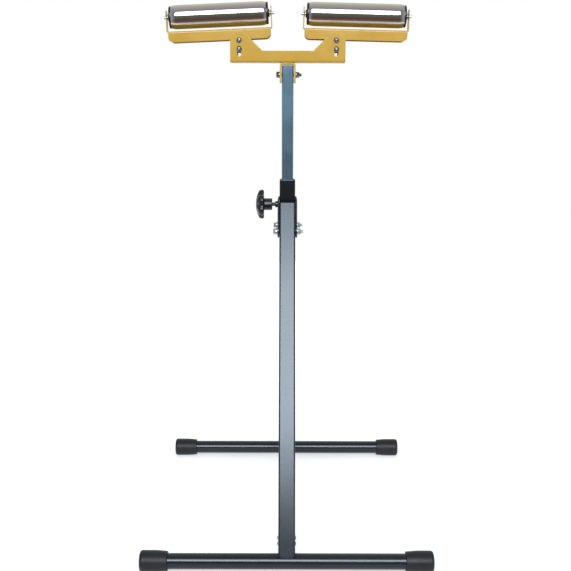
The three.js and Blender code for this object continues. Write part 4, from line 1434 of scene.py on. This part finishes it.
def washer():
    inner = WASHER_RADIUS - WASHER_EDGE
    profile = [(0, WASHER_BORE), (0, inner), (WASHER_EDGE, WASHER_RADIUS)]
    profile += [(WASHER - WASHER_EDGE, WASHER_RADIUS), (WASHER, inner), (WASHER, WASHER_BORE)]
    return turned("washer", profile, closed=True, sides=KIT_SIDES)


def shank():
    """A plain shank one metre long, to be stretched to its length."""
    return turned("shank", [(0, 0), (0, BOLT_RADIUS), (1, BOLT_RADIUS), (1, 0)], sides=32)


def thread_end():
    return threaded_rod("thread_end", 0, HEX_NUT + THREAD_END, BOLT_RADIUS, BOLT_PITCH)


def axle_clip():
    profile = [(0, CLIP_BORE), (0, CLIP_RADIUS), (CLIP, CLIP_RADIUS - CLIP_EDGE), (CLIP, CLIP_BORE)]
    return turned("axle_clip", profile, closed=True, sides=40)


for make in (washer, shank, thread_end, axle_clip):
    KIT_PIECES[make.__name__] = make()
print("kit:", ", ".join(KIT_PIECES))

# %% Domed heads
DOME_RINGS = 9
PAN_RADIUS = 5 * MM
PAN_HEAD = 3.6 * MM
PAN_RIM = 0.8 * MM
RECESS_ARM = 2.9 * MM
RECESS_HALF = 0.62 * MM  # half the width of an arm
RECESS_DEPTH = 1.9 * MM
RECESS_TAPER = 0.55
RIVET_RADIUS = 3.6 * MM
RIVET_HEAD = 1.5 * MM
RIVET_RIM = 0.3 * MM


def domed(name, radius, height, rim):
    """A low domed head with a short straight rim."""
    angles = [math.pi / 2 * i / DOME_RINGS for i in range(DOME_RINGS)]
    profile = [(rim + (height - rim) * math.sin(a), radius * math.cos(a)) for a in angles]
    return turned(name, [(0, 0), (0, radius)] + profile + [(height, 0)], sides=KIT_SIDES)


def cross_recess():
    """The cutter of a cross recess: a cross-shaped prism that tapers to its bottom."""
    quarter = [(RECESS_HALF, RECESS_HALF), (RECESS_HALF, RECESS_ARM), (-RECESS_HALF, RECESS_ARM)]
    spins = [Matrix.Rotation(turn * math.pi / 2, 2) for turn in range(4)]
    cross = [spin @ Vector(corner) for spin in spins for corner in quarter]
    top = [Vector((PAN_HEAD + MM, p.x, p.y)) for p in cross]
    bottom = [Vector((PAN_HEAD - RECESS_DEPTH, RECESS_TAPER * p.x, RECESS_TAPER * p.y)) for p in cross]
    bm = skin([top, bottom])
    verts = bm.verts[:]
    bm.faces.new(verts[:len(cross)])
    bm.faces.new(verts[:len(cross) - 1:-1])
    bmesh.ops.recalc_face_normals(bm, faces=bm.faces)
    return add_object("cross_recess", to_mesh(bm, "cross_recess"))


def pan_head():
    cutter = cross_recess()
    head = bpy.data.objects.new("pan_head_draft", domed("pan_head_draft", PAN_RADIUS, PAN_HEAD, PAN_RIM))
    cut = head.modifiers.new("recess", "BOOLEAN")
    cut.operation = "DIFFERENCE"
    cut.solver = "EXACT"
    cut.object = cutter
    mesh = evaluated(head, "pan_head")
    bpy.data.objects.remove(cutter)
    mesh.shade_smooth()
    mesh.set_sharp_from_angle(angle=SHARP)
    return mesh


KIT_PIECES["pan_head"] = pan_head()
KIT_PIECES["rivet_head"] = domed("rivet_head", RIVET_RADIUS, RIVET_HEAD, RIVET_RIM)
KIT_ORDER = sorted(KIT_PIECES)  # Collection Info hands out its children by name
KIT = bpy.data.collections.new("fastener_kit")
for kit_name in KIT_ORDER:
    KIT.objects.link(bpy.data.objects.new(kit_name, KIT_PIECES[kit_name]))
print("kit:", ", ".join(KIT_ORDER))

# %% Geometry Nodes helpers


def tree_with(name, inputs):
    """A Geometry Nodes tree with a geometry in and out and further named inputs."""
    tree = bpy.data.node_groups.new(name, "GeometryNodeTree")
    for label, kind in {"Geometry": "Geometry", **inputs}.items():
        tree.interface.new_socket(label, in_out="INPUT", socket_type="NodeSocket" + kind)
    tree.interface.new_socket("Geometry", in_out="OUTPUT", socket_type="NodeSocketGeometry")
    return tree, add(tree, "NodeGroupInput").outputs


def hand_over(tree, geometry, finish):
    """Ends a tree: its instances become real geometry, and all of it takes the finish."""
    real = add(tree, "GeometryNodeRealizeInstances", {0: geometry}).outputs[0]
    done = add(tree, "GeometryNodeSetMaterial", {"Geometry": real, "Material": finish}).outputs[0]
    add(tree, "NodeGroupOutput", {"Geometry": done})


def grown(name, mesh, tree, values):
    """What a tree makes of a helper mesh, with its inputs set by name through each socket's identifier."""
    helper = bpy.data.objects.new(name + "_helper", mesh)
    modifier = helper.modifiers.new("grow", "NODES")
    modifier.node_group = tree
    for item in tree.interface.items_tree:
        if item.in_out == "INPUT" and item.name in values:
            modifier[item.identifier] = values[item.name]
    return evaluated(helper, name)


print("tree helpers: tree_with, hand_over, grown")

# %% The tree that fits fasteners
ROW_LABELS = {"kind": "INT", "aim": "FLOAT_VECTOR", "stretch": "FLOAT_VECTOR"}


def make_fitting_tree():
    inputs = {"Kit": "Collection", "Finish": "Material", "Loose Turn": "Float", "Seed": "Int"}
    tree, start = tree_with("fit_fasteners", inputs)
    row = {}
    for label, kind in ROW_LABELS.items():
        node = add(tree, "GeometryNodeInputNamedAttribute", {"Name": label}, data_type=kind)
        row[label] = node.outputs["Attribute"]
    apart = {"Collection": start["Kit"], "Separate Children": True, "Reset Children": True}
    kit = add(tree, "GeometryNodeCollectionInfo", apart).outputs[0]
    aim = add(tree, "FunctionNodeAlignRotationToVector", {"Vector": row["aim"]}, axis="X").outputs[0]
    picks = {"Instance": kit, "Pick Instance": True, "Instance Index": row["kind"]}
    places = {"Points": start["Geometry"], "Rotation": aim, "Scale": row["stretch"]}
    placed = add(tree, "GeometryNodeInstanceOnPoints", {**picks, **places})
    chance = add(tree, "FunctionNodeRandomValue", {3: start["Loose Turn"], "Seed": start["Seed"]}).outputs[1]
    turn = add(tree, "FunctionNodeAxisAngleToRotation", {"Axis": (1, 0, 0), "Angle": chance}).outputs[0]
    loose = {"Instances": placed.outputs[0], "Rotation": turn, "Local Space": True}
    hand_over(tree, add(tree, "GeometryNodeRotateInstances", loose).outputs[0], start["Finish"])
    return tree


FITTING = make_fitting_tree()
print("tree:", FITTING.name, "with", len(FITTING.nodes), "nodes")


def fit(name, body, slot, nodes, rows, seed, finish=None):
    """Fits kit pieces, given as (kind, place, aim, stretch along the aim), and makes them one piece."""
    points = bpy.data.meshes.new(name + "_points")
    points.from_pydata([row[1] for row in rows], [], [])
    for label, kind in ROW_LABELS.items():
        points.attributes.new(label, kind, "POINT")
    for i, (kind, _, aim, stretch) in enumerate(rows):
        points.attributes["kind"].data[i].value = KIT_ORDER.index(kind)
        points.attributes["aim"].data[i].vector = aim
        points.attributes["stretch"].data[i].vector = (stretch, 1, 1)
    values = {"Kit": KIT, "Finish": FINISH[finish or slot], "Loose Turn": 2 * math.pi, "Seed": seed}
    mesh = grown(name, points, FITTING, values)
    for label in ROW_LABELS:
        if label in mesh.attributes:
            mesh.attributes.remove(mesh.attributes[label])
    piece(name, mesh, body, slot, nodes, finish=finish)


# %% Hinge and head fasteners


def hex_bolt(at, reach, head_washers):
    """Rows of a bolt along x through at: head and washers beyond -reach, washer and nut beyond +reach."""
    left, right = Vector((-1, 0, 0)), Vector((1, 0, 0))
    face = at + left * (reach + GAP)
    seat = face + left * WASHER * head_washers
    nut_face = at + right * (reach + GAP)
    nut = nut_face + right * WASHER
    rows = [("washer", face + left * WASHER * i, left, 1) for i in range(head_washers)]
    rows += [("hex_head", seat, left, 1), ("washer", nut_face, right, 1), ("hex_nut", nut, right, 1)]
    return rows + [("thread_end", nut, right, 1), ("shank", seat, right, (nut - seat).length)]


def pan_screw(at):
    """Rows of a domed screw along y through the head channel, with its nut behind."""
    front, back = Vector((0, -1, 0)), Vector((0, 1, 0))
    seat = at + front * (HEAD_DEPTH / 2 + GAP)
    nut = at + back * (HEAD_DEPTH / 2 + GAP)
    rows = [("pan_head", seat, front, 1), ("shank", seat, back, (nut - seat).length)]
    return rows + [("hex_nut", nut, back, 1), ("thread_end", nut, back, 1)]


plate_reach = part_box("hinge_plate_right")[1].x
hinge_rows = hex_bolt(hinge, plate_reach, 2) + hex_bolt(Vector((0, -hinge.y, hinge.z)), plate_reach, 2)
hinge_nodes = [f"{side}_hinge_{part}" for side in TURN for part in ("bolt", "nut")]
fit("hinge_fasteners", "main_frame", "bright_zinc", hinge_nodes, hinge_rows, seed=3, finish="dull_zinc")

head_rows = hex_bolt(Vector((0, 0, yoke_bolt_z)), yoke_high.x, 1)
head_nodes = ["yoke_bolt", "yoke_nut"]
for hand, pivot in (("left", left_tilt), ("right", tilt)):
    head_rows += pan_screw(pivot) + pan_screw(pivot - Vector((0, 0, LOCK_DROP)))
    head_nodes += [f"{hand}_{use}_{part}" for use in ("pivot", "lock") for part in ("screw", "nut")]
fit("head_fasteners", "mast", "bright_zinc", head_nodes, head_rows, seed=5, finish="dark_zinc")

# %% Rivets and clips
RIVET_HEIGHTS = {"lower": 30.4 * MM, "upper": 40.2 * MM}  # above the foot bar's axis, along the leg


def both_ends(kind, place, half, height, way):
    """Rows of two pieces across a frame's z axis, at a height, aimed outwards, or inwards where way is -1."""
    turn = place.to_3x3()
    return [(kind, place @ Vector((x * half, 0, height)), turn @ Vector((x * way, 0, 0)), 1) for x in (1, -1)]


for side_name in TURN:
    rivet_rows = []
    for height in RIVET_HEIGHTS.values():
        rivet_rows += both_ends("rivet_head", leg_frame(side_name), TUBE / 2 + GAP, height - leg_length, 1)
    rivet_nodes = [f"{side_name}_foot_rivet_{level}" for level in RIVET_HEIGHTS]
    fit(side_name + "_foot_rivets", side_name + "_leg", "black_paint", rivet_nodes, rivet_rows, seed=5)

for hand in HANDS:
    clip_rows = both_ends("axle_clip", roller_frame(hand), cradle_half - SHEET / 2 - GAP, 0, -1)
    clip_nodes = [f"{hand}_axle_clip_{end}" for end in ("inner", "outer")]
    fit(hand + "_axle_clips", hand + "_cradle", "bright_zinc", clip_nodes, clip_rows, seed=2)

for kit_name in KIT_ORDER:
    bpy.data.objects.remove(bpy.data.objects[kit_name])
bpy.data.collections.remove(KIT)

# %% [markdown]
# ## Weld beads
# The hinge plates are welded to the main tube and the yoke to the head. A weld follows a seam, so a Geometry
# Nodes tree lays it along a path: the path is resampled finely, a round section is swept along it, and the
# section's size rises and falls once per ripple with a little seeded unevenness.

# %% Weld tree
WELD_RIPPLE = 2.2 * MM
RIPPLE_POINTS = 5
BEAD_SIDES = 12
BEAD_LOW = 0.62  # smallest size of the section, as a share of the bead's radius
BEAD_WAVE = 0.36
BEAD_UNEVEN = 0.5
UNEVEN_SCALE = 160


def make_weld_tree():
    inputs = {"Finish": "Material", "Bead Radius": "Float", "Ripple": "Float", "Seed": "Float"}
    tree, start = tree_with("lay_weld", inputs)
    seam = add(tree, "GeometryNodeMeshToCurve", {"Mesh": start["Geometry"]}).outputs[0]
    steps = {"Curve": seam, "Length": WELD_RIPPLE / RIPPLE_POINTS}
    fine = add(tree, "GeometryNodeResampleCurve", steps, mode="LENGTH").outputs[0]
    along = add(tree, "GeometryNodeSplineParameter").outputs["Length"]
    wave = math_node(tree, "PINGPONG", math_node(tree, "DIVIDE", along, start["Ripple"]), 0.5)
    patches = {"Scale": UNEVEN_SCALE, "W": start["Seed"]}
    uneven = add(tree, "ShaderNodeTexNoise", patches, noise_dimensions="4D").outputs[0]
    wave = math_node(tree, "MULTIPLY", wave, BEAD_WAVE)
    size = math_node(tree, "ADD", wave, math_node(tree, "MULTIPLY", uneven, BEAD_UNEVEN))
    size = math_node(tree, "MULTIPLY", math_node(tree, "ADD", size, BEAD_LOW), start["Bead Radius"])
    section = add(tree, "GeometryNodeCurvePrimitiveCircle", {"Resolution": BEAD_SIDES, "Radius": 1})
    swept = {"Curve": fine, "Profile Curve": section.outputs[0], "Scale": size, "Fill Caps": True}
    bead = add(tree, "GeometryNodeCurveToMesh", swept).outputs[0]
    smooth = add(tree, "GeometryNodeSetShadeSmooth", {"Geometry": bead}).outputs[0]
    hand_over(tree, smooth, start["Finish"])
    return tree


WELD = make_weld_tree()
print("tree:", WELD.name, "with", len(WELD.nodes), "nodes")


def weld(name, body, slot, seams, bead, seed):
    """Lays a bead along seams, each from one point to another."""
    lines = bpy.data.meshes.new(name + "_seams")
    points = [p for seam in seams for p in seam]
    lines.from_pydata(points, [(i, i + 1) for i in range(0, len(points), 2)], [])
    values = {"Finish": FINISH[slot], "Bead Radius": bead, "Ripple": WELD_RIPPLE, "Seed": seed}
    piece(name, grown(name, lines, WELD, values), body, slot)


# %% Seams
SEAM_OUT = 0.4 * MM  # a plate's seam lies this far out from the tube's side
SEAM_UP = 0.2 * MM
SEAM_SHORT = 2 * MM  # and ends this far from the tube's corners
YOKE_SEAM = 0.6  # the welded share of the yoke's width
seam_x = TUBE / 2 + SEAM_OUT
seam_half = TUBE / 2 - SEAM_SHORT
seam_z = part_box("hinge_plate_left")[1].z + SEAM_UP
plate_seams = [[Vector((sign * seam_x, y, seam_z)) for y in (-seam_half, seam_half)] for sign in (1, -1)]
weld("plate_welds", "main_frame", "black_paint", plate_seams, bead=2.2 * MM, seed=1.0)

yoke_half = YOKE_SEAM * yoke_high.x
yoke_y, yoke_z = yoke_high.y, yoke_high.z
yoke_seams = [[Vector((x, sign * yoke_y, yoke_z)) for x in (-yoke_half, yoke_half)] for sign in (1, -1)]
weld("yoke_welds", "mast", "gold_paint", yoke_seams, bead=0.9 * MM, seed=4.0)
